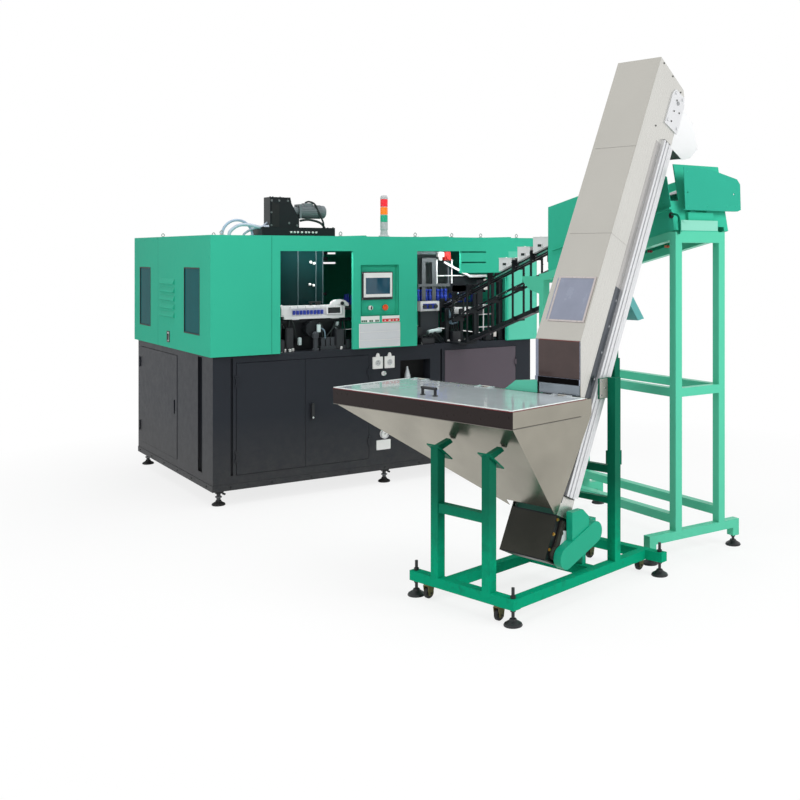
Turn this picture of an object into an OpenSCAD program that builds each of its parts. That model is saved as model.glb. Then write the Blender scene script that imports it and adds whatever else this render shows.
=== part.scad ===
// Linear stretch blow moulding machine with its infeed rail, preform sorter and preform lift.
// X runs along the cabinet front, Y runs away from the front, Z is up. Millimetres.
// The origin is the centre of the cabinet's front-left levelling pad, on the floor.

/* [Cabinet] */
// Guard length along X
cab_l = 2765; // [2400:5:3200]
// Guard depth along Y
cab_d = 1890; // [1600:5:2200]
// Height of the machine table above the floor
table_z = 1035; // [950:5:1150]
// Top of the green guard above the floor
guard_top = 1875; // [1750:5:2100]
// Clearance between floor and plinth
plinth_z = 105; // [80:5:160]
// Step of the base in from the guard
base_in = 25; // [10:1:60]
// Sheet thickness of guard and base
sheet = 4; // [3:0.5:6]
// Length of the closed front bay on the left
left_bay = 501; // [400:1:600]
// Left edge of the control column
col_x0 = 1078; // [1000:1:1150]
// Right edge of the control column
col_x1 = 1615; // [1500:1:1700]
// Top of both front openings
open_top = 1765; // [1700:5:1800]
// Height of the doors in the base
door_h = 781; // [600:1:820]
// Bottom of the doors in the base
door_z0 = 204; // [180:1:260]
// Door thickness
door_t = 22; // [15:1:40]
// Gap round each door
door_gap = 3; // [2:0.5:6]

/* [Mould clamp] */
// Parting plane of the mould along Y
part_y = 560; // [500:5:620]
// Opening stroke of each mould half
mould_stroke = 100; // [60:5:130]
// Mould half thickness along Y
mould_t = 105; // [80:5:120]
// Mould length along X
mould_l = 330; // [280:5:360]
// Mould height
mould_h = 262; // [220:2:280]
// Distance between the two cavities
cavity_pitch = 150; // [130:5:170]
// Body radius of a cavity
cavity_r = 44; // [30:1:50]
// Tie bar radius
tie_r = 20; // [15:1:25]

/* [Oven] */
// Sprocket pitch radius of the mandrel chain
chain_r = 190; // [150:5:210]
// Distance between the sprocket axes
chain_span = 900; // [800:10:950]
// Number of mandrels on the chain
mandrels = 36; // [24:2:44]

/* [Infeed rail] */
// X of the rail's centre line
rail_x = 2020; // [1950:5:2060]
// Fall of the rail for each unit of length
rail_fall = 0.31; // [0.25:0.01:0.35]
// Slot between the two rails
rail_slot = 24; // [20:1:40]

/* [Sorter] */
// Left face of the sorter stand
sort_x = 1790; // [1780:1:1800]
// Near face of the sorter stand
sort_y = -2665; // [-2700:5:-2640]
// Stand width along X
sort_w = 400; // [380:5:420]
// Trough length along its slope
trough_l = 1225; // [1150:5:1260]
// Trough tilt in degrees
trough_tilt = 12; // [8:0.5:14]
// Orienting roller radius
roller_r = 42; // [35:1:48]
// Gap between the orienting rollers
roller_gap = 26; // [22:1:34]

/* [Preform lift] */
// Turn of the lift against the cabinet in degrees
lift_yaw = 13.6; // [0:0.1:20]
// Lean of the lift from upright in degrees
lean = 25.6; // [20:0.1:32]
// Tube size of the stands
tube = 50; // [40:5:60]
// Underside of the lift stand's tubes
beam_z = 78; // [70:1:100]
// Near side of the casing from the stand's near side
cas_y = 80; // [75:1:90]
// Casing width
cas_w = 302; // [280:2:320]
// Length of the lift casing along its slope
cas_l = 3185; // [2900:5:3300]
// Height of the hopper's top edge
hop_z = 1000; // [900:5:1050]
// Hopper width along the lift's cross direction
hop_w = 1315; // [1100:5:1350]
// Radius of the belt drums
drum_r = 32; // [26:1:34]
// Running clearance of shafts in their bores, on the radius
run_gap = 0.05; // [0.02:0.01:0.09]

/* [Output] */
// Sub-part to draw, or all of them

/* [Hidden] */
foot_x = 88;
foot_y = 90;
base_x1 = cab_l - 50;
base_y1 = cab_d - 25;
door_z1 = door_z0 + door_h;
// Door edges along the front
dl_x0 = 190;
dl_x1 = 703;
dr_x1 = 1216;
de_x0 = 1880;
de_x1 = base_x1 - 150;
// Door edges along the left side
ds_y0 = 815;
ds_y1 = cab_d - 90;
// Side windows further back and lower corner of the right opening
win_y0 = cab_d - 464;
win_y1 = cab_d - 163;
step_x = cab_l - 303;
// Near ends of the lid's hinges and centre of its handle
lid_hinges = [150, hop_w / 2 + 32.5, hop_w - 105];
handle_y = hop_w / 2 + 55.5;
hinge_z = [door_z0 + 110, door_z1 - 150];
rec_x0 = 1142;
rec_x1 = 1450;
rec_z0 = 1285;
rec_z1 = 1656;
rec_d = 30;
mould_x0 = 800 - mould_l / 2;
mould_z0 = 1072;
oven_cx = 2030;
oven_cy = 750;
oven_z = 1330;
rail_y0 = -1394;
rail_y1 = 300;
rail_z1 = 1332;
rail_len = rail_y1 - rail_y0;
lift_x = 411;
lift_y = -3014;
kink_z = 1298;
kink_x = 619.5;
lean_x0 = kink_x - kink_z * tan(lean);
belt_n = 256;
belt_t = 4;
drum_s0 = 396;
drum_s1 = 3030;
cas_y1 = cas_y + cas_w;
back_n = 308;
// Range in depth of the slotted side profiles and how far they stand off the casing
rail_n0 = 210;
rail_n1 = 282;
rail_off = 20;
// Near edge of the rear posts under the lift
post_x = 812;
// Near face of the sorter stand's far legs
stand_y1 = -1402;
front_wheel_x = 25;
rear_wheel_x = 1120;
wheel_r = 28;
wheel_z = 32;
charcoal = [0.16, 0.17, 0.18];
green = [0.25, 0.73, 0.61];
frame_green = [0.05, 0.58, 0.45];
steel = [0.72, 0.71, 0.68];
dark = [0.10, 0.12, 0.14];
white = [0.92, 0.92, 0.92];
alu = [0.80, 0.81, 0.82];

// placement helpers

module at() {
  translate([-foot_x, -foot_y, 0]) children();
}

module lift() {
  at() translate([lift_x, lift_y, 0]) rotate([0, 0, lift_yaw]) children();
}

// Slope frame of the lift: X is the depth behind the front sheet, Z runs up the slope.
module slope() {
  lift() translate([lean_x0, 0, 0]) rotate([0, lean, 0]) children();
}

// Slope frame of the sorter trough: Y runs down the slope.
module tilt() {
  at() translate([sort_x + 5, sort_y + 20, 1905]) rotate([-trough_tilt, 0, 0]) children();
}

// Slope frame of the infeed rail: Y runs down the slope from its upper end.
module fall() {
  at() translate([rail_x, rail_y0, rail_z1 + rail_fall * rail_len])
    rotate([-atan(rail_fall), 0, 0]) children();
}

module box(a, b) {
  translate(a) cube(b - a);
}

// Plate in the XZ plane with rounded corners, growing along +Y.
module plate_xz(x0, z0, x1, z1, y, t, r) {
  translate([0, y + t, 0]) rotate([90, 0, 0]) linear_extrude(height = t)
    rounded(x0, z0, x1, z1, r);
}

module rounded(x0, y0, x1, y1, r) {
  translate([x0 + r, y0]) square([x1 - x0 - 2 * r, y1 - y0]);
  translate([x0, y0 + r]) square([x1 - x0, y1 - y0 - 2 * r]);
  for (x = [x0 + r, x1 - r], y = [y0 + r, y1 - r])
    translate([x, y]) circle(r = r, $fn = 32);
}

// Outline given in X and Z, drawn along Y from y0 to y1.
module prism_xz(pts, y0, y1) {
  translate([0, y1, 0]) rotate([90, 0, 0]) linear_extrude(height = y1 - y0) polygon(pts);
}

// Outline given in Y and Z, drawn along X from x0 to x1.
module prism_yz(pts, x0, x1) {
  translate([x0, 0, 0]) rotate([90, 0, 90]) linear_extrude(height = x1 - x0) polygon(pts);
}

module rod_x(x0, x1, y, z, r) {
  translate([x0, y, z]) rotate([0, 90, 0]) cylinder(h = x1 - x0, r = r, $fn = 48);
}

module rod_y(y0, y1, x, z, r) {
  translate([x, y0, z]) rotate([-90, 0, 0]) cylinder(h = y1 - y0, r = r, $fn = 48);
}

module rod_z(z0, z1, x, y, r) {
  translate([x, y, z0]) cylinder(h = z1 - z0, r = r, $fn = 48);
}

// cabinet base

module base_frame() color(charcoal) at() {
  difference() {
    box([base_in, base_in, plinth_z], [base_x1, base_y1, table_z]);
    box([base_in + sheet, base_in + sheet, plinth_z + sheet],
      [base_x1 - sheet, base_y1 - sheet, table_z - 12]);
    // double door, end door and side door openings
    box([dl_x0, base_in - 1, door_z0], [dr_x1, base_in + sheet + 1, door_z1]);
    box([de_x0, base_in - 1, door_z0], [de_x1, base_in + sheet + 1, door_z1]);
    box([base_in - 1, ds_y0, door_z0], [base_in + sheet + 1, ds_y1, door_z1]);
    // narrow upright slots beside the front-left corner
    box([150, base_in - 1, door_z0], [168, base_in + sheet + 1, table_z - 18]);
    box([base_in - 1, 245, door_z0], [base_in + sheet + 1, 340, table_z - 18]);
    // connection recess beside the doors
    box([1485, base_in - 1, 770], [1750, base_in + sheet + 1, 925]);
    box([1843, base_in - 1, door_z0 + 10], [1856, base_in + sheet + 1, table_z - 40]);
    // cable and air passages through the table
    rod_z(table_z - 13, table_z + 1, 1300, 420, 60);
    rod_z(table_z - 13, table_z + 1, cab_l - 145, cab_d - 390, 60);
    // cable entry in the floor of the switchgear bay
    box([420, 150, plinth_z - 1], [1000, 300, plinth_z + sheet + 1]);
    // vent slots in the back and right walls
    for (i = [0:7]) {
      box([500, base_y1 - sheet - 1, 380 + i * 45], [900, base_y1 + 1, 395 + i * 45]);
      box([1800, base_y1 - sheet - 1, 380 + i * 45], [2200, base_y1 + 1, 395 + i * 45]);
      box([base_x1 - sheet - 1, 650, 380 + i * 45], [base_x1 + 1, 1050, 395 + i * 45]);
    }
  }
  // hinge knuckles of the doors
  for (h = [[dl_x0 + 1.5, -1], [dr_x1 - 1.5, 1], [de_x1 - 1.5, 1]], z = hinge_z)
    translate([0, base_in - 3, 0]) knuckle(h[0], z, false, h[1]);
  for (z = hinge_z, k = [[z - 20, z - 0.3], [z + 40.3, z + 60]]) {
    rod_z(k[0], k[1], base_in - 8.3, ds_y1 - 1.5, 5);
    box([base_in - 10, ds_y1 - 1.5, k[0]], [base_in, ds_y1 + 10.5, k[1]]);
  }
  // plinth band and pads for the levelling feet
  difference() {
    box([base_in - 3, base_in - 3, plinth_z], [base_x1 + 3, base_y1 + 3, plinth_z + 42]);
    box([base_in, base_in, plinth_z - 1], [base_x1, base_y1, plinth_z + 43]);
  }
  // backs of the slots and of the recess
  prism_xz([[141, 195], [177, 195], [177, 1030], [141, 1030]], base_in + 18, base_in + 21);
  for (x = [138, 174]) box([x, base_in + sheet, 195], [x + 3, base_in + 21, 1030]);
  box([base_in + 28, 236, 195], [base_in + 31, 349, 1030]);
  for (y = [233, 349]) box([base_in + sheet, y, 195], [base_in + 31, y + 3, 1030]);
  box([1476, base_in + 110, 761], [1759, base_in + 113, 934]);
  for (x = [1473, 1759]) box([x, base_in + sheet, 761], [x + 3, base_in + 113, 934]);
  for (z = [758, 934]) box([1473, base_in + sheet, z], [1762, base_in + 113, z + 3]);
  // uprights and partitions behind the openings
  for (x = [1222, de_x0 - 20, de_x1 + 5])
    box([x, base_in + sheet, plinth_z + sheet], [x + 5, base_y1 - sheet, table_z - 12]);
  for (y = [785, ds_y1 + 6])
    box([base_in + sheet, y, plinth_z + sheet], [base_in + 54, y + 24, table_z - 12]);
  // switchgear plate with drives and supply units inside the double doors
  box([240, 560, 205], [1190, 563, 975]);
  for (y = [563, 690]) box([240, y, plinth_z + sheet], [1190, y + 25, 215]);
  for (i = [0:3]) box([290 + i * 130, 430, 660], [390 + i * 130, 560, 900]);
  for (i = [0:2]) box([290 + i * 190, 470, 340], [430 + i * 190, 560, 520]);
  box([900, 400, 320], [1130, 560, 900]);
  // back support of the plate
  for (x = [300, 1100]) box([x, 563, 205], [x + 30, 715, 235]);
}

// Knuckles of a base door; own = true draws the door's, false the frame's.
module knuckle(x, z, own, dir) {
  if (own) {
    rod_z(z, z + 40, x, -5.3, 5);
    box([min(x, x - dir * 14), -8, z], [max(x, x - dir * 14), 0.5, z + 40]);
  } else for (k = [[z - 20, z - 0.3], [z + 40.3, z + 60]]) {
    rod_z(k[0], k[1], x, -5.3, 5);
    box([min(x, x + dir * 12), -7, k[0]], [max(x, x + dir * 12), 3, k[1]]);
  }
}

module sheet_door(x0, x1, z0, z1) {
  difference() {
    box([x0, 0, z0], [x1, door_t, z1]);
    box([x0 + 3, 3, z0 + 3], [x1 - 3, door_t + 1, z1 - 3]);
  }
  // hat-section stiffener on the inside
  box([(x0 + x1) / 2 - 30, 3, z0 + 3], [(x0 + x1) / 2 + 30, 13, z1 - 3]);
}

module door_left() color(charcoal) at() translate([0, base_in - 3, 0]) {
  sheet_door(dl_x0 + door_gap, dl_x1 - door_gap / 2, door_z0 + door_gap, door_z1 - door_gap);
  for (z = hinge_z) knuckle(dl_x0 + 1.5, z, true, -1);
}

module door_right() color(charcoal) at() translate([0, base_in - 3, 0]) {
  sheet_door(dl_x1 + door_gap / 2, dr_x1 - door_gap, door_z0 + door_gap, door_z1 - door_gap);
  for (z = hinge_z) knuckle(dr_x1 - 1.5, z, true, 1);
  // lock plate under the swing handle
  plate_xz(738, 530, 768, 670, -4, 4.5, 6);
}

module door_end() color(charcoal) at() translate([0, base_in - 3, 0]) {
  difference() {
    sheet_door(de_x0 + door_gap, de_x1 - door_gap, door_z0 + door_gap, door_z1 - door_gap);
    box([de_x0 + 45, -1, 560], [de_x0 + 85, 1.5, 680]);
  }
  for (z = hinge_z) knuckle(de_x1 - 1.5, z, true, 1);
}

module door_side() color(charcoal) at() translate([base_in - 3, 0, 0]) {
  difference() {
    box([0, ds_y0 + door_gap, door_z0 + door_gap], [door_t, ds_y1 - door_gap, door_z1 - door_gap]);
    box([3, ds_y0 + door_gap + 3, door_z0 + door_gap + 3],
      [door_t + 1, ds_y1 - door_gap - 3, door_z1 - door_gap - 3]);
    box([-1, 857, 540], [4, 893, 645]);
  }
  // shell of the recessed pull
  difference() {
    box([0, 853, 536], [16, 897, 649]);
    box([-1, 857, 540], [14, 893, 645]);
  }
  rod_x(4, 15, 875, 552, 7);
  for (z = hinge_z) {
    rod_z(z, z + 40, -5.3, ds_y1 - 1.5, 5);
    box([-8, ds_y1 - 15.5, z], [0.5, ds_y1 - 1.5, z + 40]);
  }
}

module door_handle() color(dark) at() translate([753, base_in - 3 - 4, 0]) {
  // boss and a lever that hangs down from it
  rod_y(-12, 0, 0, 648, 12);
  difference() {
    plate_xz(-11, 545, 11, 662, -24, 12, 9);
    plate_xz(-7, 552, 7, 625, -13.5, 3, 5);
  }
}

module foot_profile() {
  rotate_extrude($fn = 48) polygon([[0, 0], [44, 0], [46, 4], [42, 12], [20, 26], [16, 34],
    [0, 34]]);
}

module levelling_feet() color(dark) {
  // cabinet feet
  for (x = [foot_x, 1379, cab_l - 115], y = [foot_y, cab_d - 82]) at() translate([x, y, 0]) {
    foot_profile();
    rod_z(34, plinth_z, 0, 0, 14);
    rod_z(plinth_z - 24, plinth_z - 10, 0, 0, 24);
  }
  // lift stand feet
  for (p = [[25, 21], [25, 680], [1120, -75], [1120, 500]]) lift() translate([p[0], p[1], 0]) {
    foot_profile();
    rod_z(34, beam_z, 0, 0, 8);
    rod_z(beam_z - 12, beam_z, 0, 0, 13);
    rod_z(beam_z + tube, beam_z + tube + 12, 0, 0, 13);
    rod_z(beam_z + tube + 12, beam_z + tube + 50, 0, 0, 8);
  }
  // sorter stand feet
  for (x = [sort_x - 174, sort_x + sort_w + 96], y = [sort_y + 25, stand_y1 + 25])
    at() translate([x, y, 0]) {
      foot_profile();
      rod_z(34, 62, 0, 0, 8);
      rod_z(50, 62, 0, 0, 13);
    }
}

// green guard

module enclosure() color(green) at() {
  difference() {
    box([0, 0, table_z], [cab_l, cab_d, guard_top - sheet]);
    box([sheet, sheet, table_z - 1], [cab_l - sheet, cab_d - sheet, guard_top]);
    // front openings
    box([left_bay, -1, table_z - 1], [col_x0, sheet + 1, open_top]);
    box([col_x1, -1, table_z - 1], [rail_x, sheet + 1, open_top]);
    box([rail_x - 1, -1, table_z - 1], [step_x, sheet + 1, 1592]);
    for (z = [1670, 1753]) box([rail_x - 1, -1, z], [rail_x + 236, sheet + 1, z + 11]);
    // cut-out behind the control panel
    box([rec_x0, -1, rec_z0], [rec_x1, sheet + 1, rec_z1]);
    // left side windows
    box([-1, 227, 1173], [sheet + 1, 574, 1646]);
    box([-1, win_y0, 1169], [sheet + 1, win_y1, 1636]);
    // shallow joints between the sheets
    box([-1, 1220, table_z - 1], [1.2, 1224, guard_top]);
    box([left_bay - 62, -1, table_z - 1], [left_bay - 59, 1.2, guard_top]);
    for (x = [920, 1840]) box([x, cab_d - 1.2, table_z - 1], [x + 4, cab_d + 1, guard_top]);
    // slots high in the back
    for (x = [700, 1000, 1300, 1600, 2000, cab_l - 465], z = [1650, 1740])
      box([x, cab_d - sheet - 1, z], [x + 220, cab_d + 1, z + 16]);
    // access window in the right side, above the far half
    box([cab_l - sheet - 1, 1200, 1200], [cab_l + 1, 1600, 1600]);
  }
  // folds round the front openings
  for (x = [left_bay, col_x0 - 3, col_x1]) box([x, 0, table_z], [x + 3, 28, open_top]);
  box([left_bay, 0, open_top], [col_x0, 28, open_top + 3]);
  box([col_x1, 0, open_top], [rail_x, 28, open_top + 3]);
  box([rail_x, 0, 1592], [rail_x + 3, 28, open_top + 3]);
  box([rail_x, 0, 1592], [step_x + 3, 28, 1595]);
  box([step_x, 0, table_z], [step_x + 3, 28, 1595]);
  // louvres on the left side
  for (i = [0:4]) translate([0, 0, 1264 + i * 62])
    difference() {
      prism_xz([[0, 0], [-14, 6], [-14, 12], [0, 46]], 801, 1156);
      prism_xz([[2, -2], [-12, 6.5], [-12, 11], [2, 42]], 803, 1154);
    }
  // louvres on the right side
  for (i = [0:4]) translate([cab_l, 0, 1264 + i * 62])
    prism_xz([[0, 0], [10, 6], [10, 12], [0, 46]], 500, 860);
  // back folds of the control column
  for (x = [rec_x0 - 22, rec_x1 + 19]) box([x, 0, table_z], [x + 3, 60, guard_top - sheet]);
}

module roof() color(green) at() {
  difference() {
    box([0, 0, guard_top - sheet], [cab_l, cab_d, guard_top]);
    // opening for the stretch drive
    box([640, part_y - 60, guard_top - sheet - 1], [960, part_y + 60, guard_top + 1]);
  }
  // low ribs across the roof
  for (x = [1170, 1900, cab_l - 265])
    prism_xz([[x, guard_top], [x + 50, guard_top], [x + 40, guard_top + 8],
      [x + 10, guard_top + 8]], 60, cab_d - 60);
}

module side_windows() color([0.05, 0.16, 0.17, 0.6]) at() {
  box([sheet, 212, 1158], [sheet + 5, 589, 1661]);
  box([sheet, win_y0 - 15, 1154], [sheet + 5, win_y1 + 15, 1651]);
  box([cab_l - sheet - 5, 1185, 1185], [cab_l - sheet, 1615, 1615]);
}

module control_panel() color(green) at() {
  // pan that closes the recess in the control column
  difference() {
    box([rec_x0 - 15, sheet, rec_z0 - 15], [rec_x1 + 15, rec_d + 3, rec_z1 + 15]);
    box([rec_x0, sheet - 1, rec_z0], [rec_x1, rec_d, rec_z1]);
    // holes for the two buttons
    rod_y(rec_d - 1, rec_d + 4, 1225, 1338, 11 + run_gap);
    rod_y(rec_d - 1, rec_d + 4, 1348, 1338, 11 + run_gap);
    box([1166, rec_d - 1, 1415], [1396, rec_d + 4, 1593]);
  }
}

module hmi() color(dark) at() {
  difference() {
    plate_xz(1150, 1399, 1412, 1609, rec_d - 18, 18, 6);
    box([1176, rec_d - 19, 1430], [1392, rec_d - 14, 1566]);
  }
  // housing behind the panel
  box([1168, rec_d, 1417], [1394, rec_d + 60, 1591]);
}

module hmi_screen() color([0.45, 0.52, 0.62]) at()
  box([1176.5, rec_d - 17, 1430.5], [1391.5, rec_d - 14, 1565.5]);

module selector_knob() color(white) at() translate([1225, 0, 1338]) {
  // shaft, skirt and grip of the push button
  rod_y(rec_d - 10, rec_d + 28, 0, 0, 11);
  rod_y(rec_d - 22, rec_d - 10, 0, 0, 17);
  translate([0, rec_d - 22, 0]) rotate([90, 0, 0]) cylinder(h = 8, r1 = 16, r2 = 13, $fn = 40);
}

module stop_button() color([0.85, 0.25, 0.12]) at() translate([1348, 0, 1338]) {
  rod_y(rec_d - 12, rec_d + 28, 0, 0, 11);
  translate([0, rec_d - 12, 0]) rotate([90, 0, 0])
    rotate_extrude($fn = 48) polygon([[0, 0], [16, 0], [22, 4], [23, 10], [20, 15], [0, 18]]);
}

module service_plates() color(white) at() {
  // two socket plates on the base
  difference() {
    for (x = [1246, 1346]) plate_xz(x, 876, x + 84, 966, base_in - 9, 9, 4);
    for (x = [1288, 1388]) rod_y(base_in - 10, base_in - 3, x, 921, 20);
  }
  for (x = [1288, 1388]) rod_y(base_in - 6, base_in - 2, x, 921, 17);
  // air connection ring and gauge
  difference() {
    rod_y(base_in - 16, base_in, 1338, 838, 17);
    rod_y(base_in - 17, base_in - 4, 1338, 838, 11);
  }
  translate([1339, base_in, 381]) rotate([90, 0, 0]) rotate_extrude($fn = 64)
    polygon([[0, 0], [26, 0], [34, 6], [34, 26], [30, 30], [27, 24], [0, 24]]);
  plate_xz(1280, 260, 1399, 334, base_in - 2, 2, 4);
  // strips and plate on the control column
  plate_xz(1138, 1230, 1292, 1277, -2, 2, 2);
  plate_xz(1314, 1228, 1463, 1275, -2, 2, 2);
  plate_xz(1122, 1042, 1468, 1222, -2, 2, 3);
  box([-1.5, 925, 1084], [0, 975, 1152]);
}

module signal_tower() color([0.55, 0.57, 0.58]) at() translate([1410, 150, 0]) {
  rotate_extrude($fn = 48) polygon([[0, guard_top], [42, guard_top], [42, guard_top + 8],
    [30, guard_top + 16], [26, guard_top + 50], [29, guard_top + 58], [29, 1990], [0, 1990]]);
  rod_z(2043, 2047, 0, 0, 27);
  rod_z(2104, 2108, 0, 0, 27);
  rotate_extrude($fn = 48) polygon([[0, 2166], [29, 2166], [29, 2180], [22, 2194], [0, 2198]]);
  // inner stem that holds the lens rings
  rod_z(1990, 2166, 0, 0, 12);
}

module lens_ring(z0, z1) {
  at() translate([1410, 150, 0])
    rotate_extrude($fn = 48) polygon([[12, z0], [27, z0], [29, z0 + 3], [29, z1 - 3],
      [27, z1], [12, z1]]);
}

module lens_green() color([0.1, 0.75, 0.4]) lens_ring(1990, 2043);
module lens_amber() color([1, 0.55, 0.1]) lens_ring(2047, 2104);
module lens_red() color([0.9, 0.15, 0.1]) lens_ring(2108, 2166);

// clamp and stretch unit

module bottle_half(z0) {
  // cavity of a waisted jar with a screw neck, turned about the parting line
  rotate_extrude($fn = 64) polygon([[0, z0 + 14], [cavity_r * 0.7, z0 + 14],
    [cavity_r, z0 + 26], [cavity_r, z0 + 92], [cavity_r * 0.9, z0 + 108],
    [cavity_r * 0.86, z0 + 124], [cavity_r * 0.93, z0 + 142], [cavity_r * 0.93, z0 + 170],
    [cavity_r * 0.7, z0 + 200], [19, z0 + 216], [19, z0 + mould_h + 1], [0, z0 + mould_h + 1]]);
}

module mould_half(side) {
  // side is -1 for the front half and 1 for the rear half
  y_in = part_y + side * (mould_stroke + 0.2);
  y_out = y_in + side * mould_t;
  ya = min(y_in, y_out);
  yb = max(y_in, y_out);
  pa = (side < 0) ? ya - 48 : yb;
  difference() {
    box([mould_x0, ya, mould_z0], [mould_x0 + mould_l, yb, mould_z0 + mould_h]);
    for (x = [800 - cavity_pitch / 2, 800 + cavity_pitch / 2])
      translate([x, y_in, 0]) bottle_half(mould_z0);
    // cooling water bores along X
    for (z = [mould_z0 + 40, mould_z0 + 130])
      rod_x(mould_x0 - 1, mould_x0 + 60, (y_in * 0.25 + y_out * 0.75), z, 7);
  }
  // carrier plate that runs on the tie bars
  difference() {
    box([582, pa, mould_z0 - 16], [1018, pa + 48, mould_z0 + mould_h - 2]);
    for (x = [612, 988], z = [mould_z0 + 12, mould_z0 + mould_h - 30])
      rod_y(pa - 1, pa + 49, x, z, tie_r + run_gap);
  }
}

module mould_front() color([0.70, 0.72, 0.74]) at() {
  mould_half(-1);
  // clamp cylinder rod
  rod_y(104, part_y - mould_stroke - mould_t - 48, 800, mould_z0 + 120, 22);
}

module mould_rear() color([0.70, 0.72, 0.74]) at() {
  mould_half(1);
  rod_y(part_y + mould_stroke + mould_t + 48, 1044, 800, mould_z0 + 120, 22);
}

module clamp_frame() color(dark) at() {
  // end plates with the clamp cylinders
  difference() {
    for (y = [180, 900]) box([570, y, table_z], [1030, y + 40, 1322]);
    for (y = [179, 899]) rod_y(y, y + 42, 800, mould_z0 + 120, 22 + run_gap);
    for (x = [660, 940]) rod_y(179, 221, x, 1100, 12);
    for (x = [660, 940]) rod_y(899, 941, x, 1100, 12);
  }
  difference() {
    rod_y(88, 180, 800, mould_z0 + 120, 60);
    rod_y(98, 181, 800, mould_z0 + 120, 24);
  }
  difference() {
    rod_y(940, 1060, 800, mould_z0 + 120, 60);
    rod_y(939, 1050, 800, mould_z0 + 120, 24);
  }
  // tie bars
  for (x = [612, 988], z = [mould_z0 + 12, mould_z0 + mould_h - 30])
    rod_y(160, 960, x, z, tie_r);
  for (x = [612, 988], z = [mould_z0 + 12, mould_z0 + mould_h - 30], y = [160, 940])
    translate([x, y, z]) rotate([-90, 0, 0]) cylinder(h = 20, r = 32, $fn = 6);
  // bed rails on the table
  for (x = [700, 900]) box([x - 20, 220, table_z], [x + 20, 900, table_z + 18]);
  // rail of the transfer arm with its two stand posts
  box([520, 146, 1240], [1560, 168, 1262]);
  for (x = [530, 1500]) box([x, 146, table_z], [x + 40, 186, 1240]);
  box([520, 140, 1247], [1560, 146, 1255]);
}

module stretch_frame() color(dark) at() {
  // portal over the mould with guide columns
  for (x = [500, 1052]) {
    box([x, part_y + 70, table_z], [x + 48, part_y + 140, guard_top - sheet]);
    box([x, part_y - 40, 1420], [x + 48, part_y + 140, 1440]);
  }
  difference() {
    box([500, part_y - 58, 1690], [1100, part_y + 140, 1720]);
    for (x = [640, 960]) rod_z(1689, 1721, x, part_y, 16);
    box([760, part_y - 45, 1689], [840, part_y + 45, 1721]);
  }
  for (x = [640, 960]) rod_z(1440, 1750, x, part_y, 16);
  box([548, part_y - 40, 1420], [1052, part_y - 10, 1440]);
  box([548, part_y + 10, 1420], [1052, part_y + 40, 1440]);
  for (x = [640, 960]) box([x - 20, part_y - 40, 1420], [x + 20, part_y + 40, 1440]);
  // tinted housing plate in front of the unit
  box([500, part_y - 62, 1380], [870, part_y - 58, 1760]);
  for (x = [520, 800], z = [1513, 1677]) rod_y(part_y - 66, part_y - 62, x, z, 8);
  box([500, part_y - 58, 1740], [1100, part_y - 50, 1760]);
  // raised bracket on the roof
  difference() {
    box([560, part_y - 70, guard_top], [1158, part_y + 150, guard_top + 72]);
    box([640, part_y - 55, guard_top - 1], [1130, part_y + 130, guard_top + 64]);
    box([752, part_y - 40, guard_top + 60], [848, part_y + 40, guard_top + 73]);
  }
  for (y = [part_y - 60, part_y + 56])
    prism_xz([[626, guard_top + 72], [862, guard_top + 72], [862, 2016], [800, 2130],
      [790, 2176], [626, 2172]], y, y + 8);
  box([626, part_y - 60, 2168], [740, part_y + 64, 2176]);
  box([626, part_y - 52, guard_top + 72], [634, part_y + 56, 2168]);
}

module stretch_carriage() color([0.62, 0.64, 0.66]) at() {
  // carriage with guide bushes
  difference() {
    box([600, part_y - 45, 1560], [1000, part_y + 45, 1600]);
    for (x = [640, 960]) rod_z(1559, 1601, x, part_y, 16 + run_gap);
  }
  // stretch rods, blow nozzles and lifting rod
  for (x = [800 - cavity_pitch / 2, 800 + cavity_pitch / 2]) {
    rod_z(1374, 1560, x, part_y, 7);
    rod_z(1440, 1560, x, part_y, 9);
    translate([x, part_y, 1600]) cylinder(h = 26, r = 20, $fn = 6);
  }
  rod_z(1600, 1970, 800, part_y, 15);
}

module stretch_motor() color([0.45, 0.46, 0.47]) at() translate([0, part_y, 2072]) {
  // neck, flange, finned body and end cap of the drive that lies along X
  rod_x(745, 871, 0, 0, 36);
  box([871, -56, -56], [884, 56, 56]);
  translate([884, 0, 0]) rotate([0, 90, 0]) linear_extrude(height = 176)
    difference() {
      circle(r = 54, $fn = 64);
      for (a = [0:15:345]) rotate(a) translate([50, -3]) square([8, 6]);
    }
  translate([1060, 0, 0]) rotate([0, 90, 0]) rotate_extrude($fn = 64)
    polygon([[0, 0], [52, 0], [50, 30], [42, 38], [0, 38]]);
  box([920, -30, 40], [990, 30, 66]);
  // mounting shoulder between the bracket sides
  box([745, -52, -50], [792, 52, 50]);
}

module transfer_arm() color(white) at() {
  // carriage beam on the rail
  difference() {
    box([578, 112, 1268], [1060, 156, 1366]);
    box([600, 111, 1290], [1040, 120, 1344]);
  }
  for (x = [640, 960]) box([x, 124, 1262.3], [x + 60, 156, 1268]);
  // cranked end bracket
  prism_xz([[548, 1290], [578, 1290], [578, 1366], [560, 1373], [548, 1366]], 100, 156);
  // gripper fingers that reach over the front mould half
  for (c = [800 - cavity_pitch / 2, 800 + cavity_pitch / 2], s = [-1, 1])
    translate([c + s * 26, 0, 0]) {
      box([-6, 156, 1350], [6, part_y - 22, 1362]);
      translate([0, part_y - 22, 1350]) linear_extrude(height = 12)
        polygon([[-6, 0], [6, 0], [6 - s * 6, 30], [-6 - s * 2, 30]]);
    }
}

// oven

module loop_path(r, w, h) {
  linear_extrude(height = h) difference() {
    stadium(r + w);
    stadium(r);
  }
}

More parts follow.
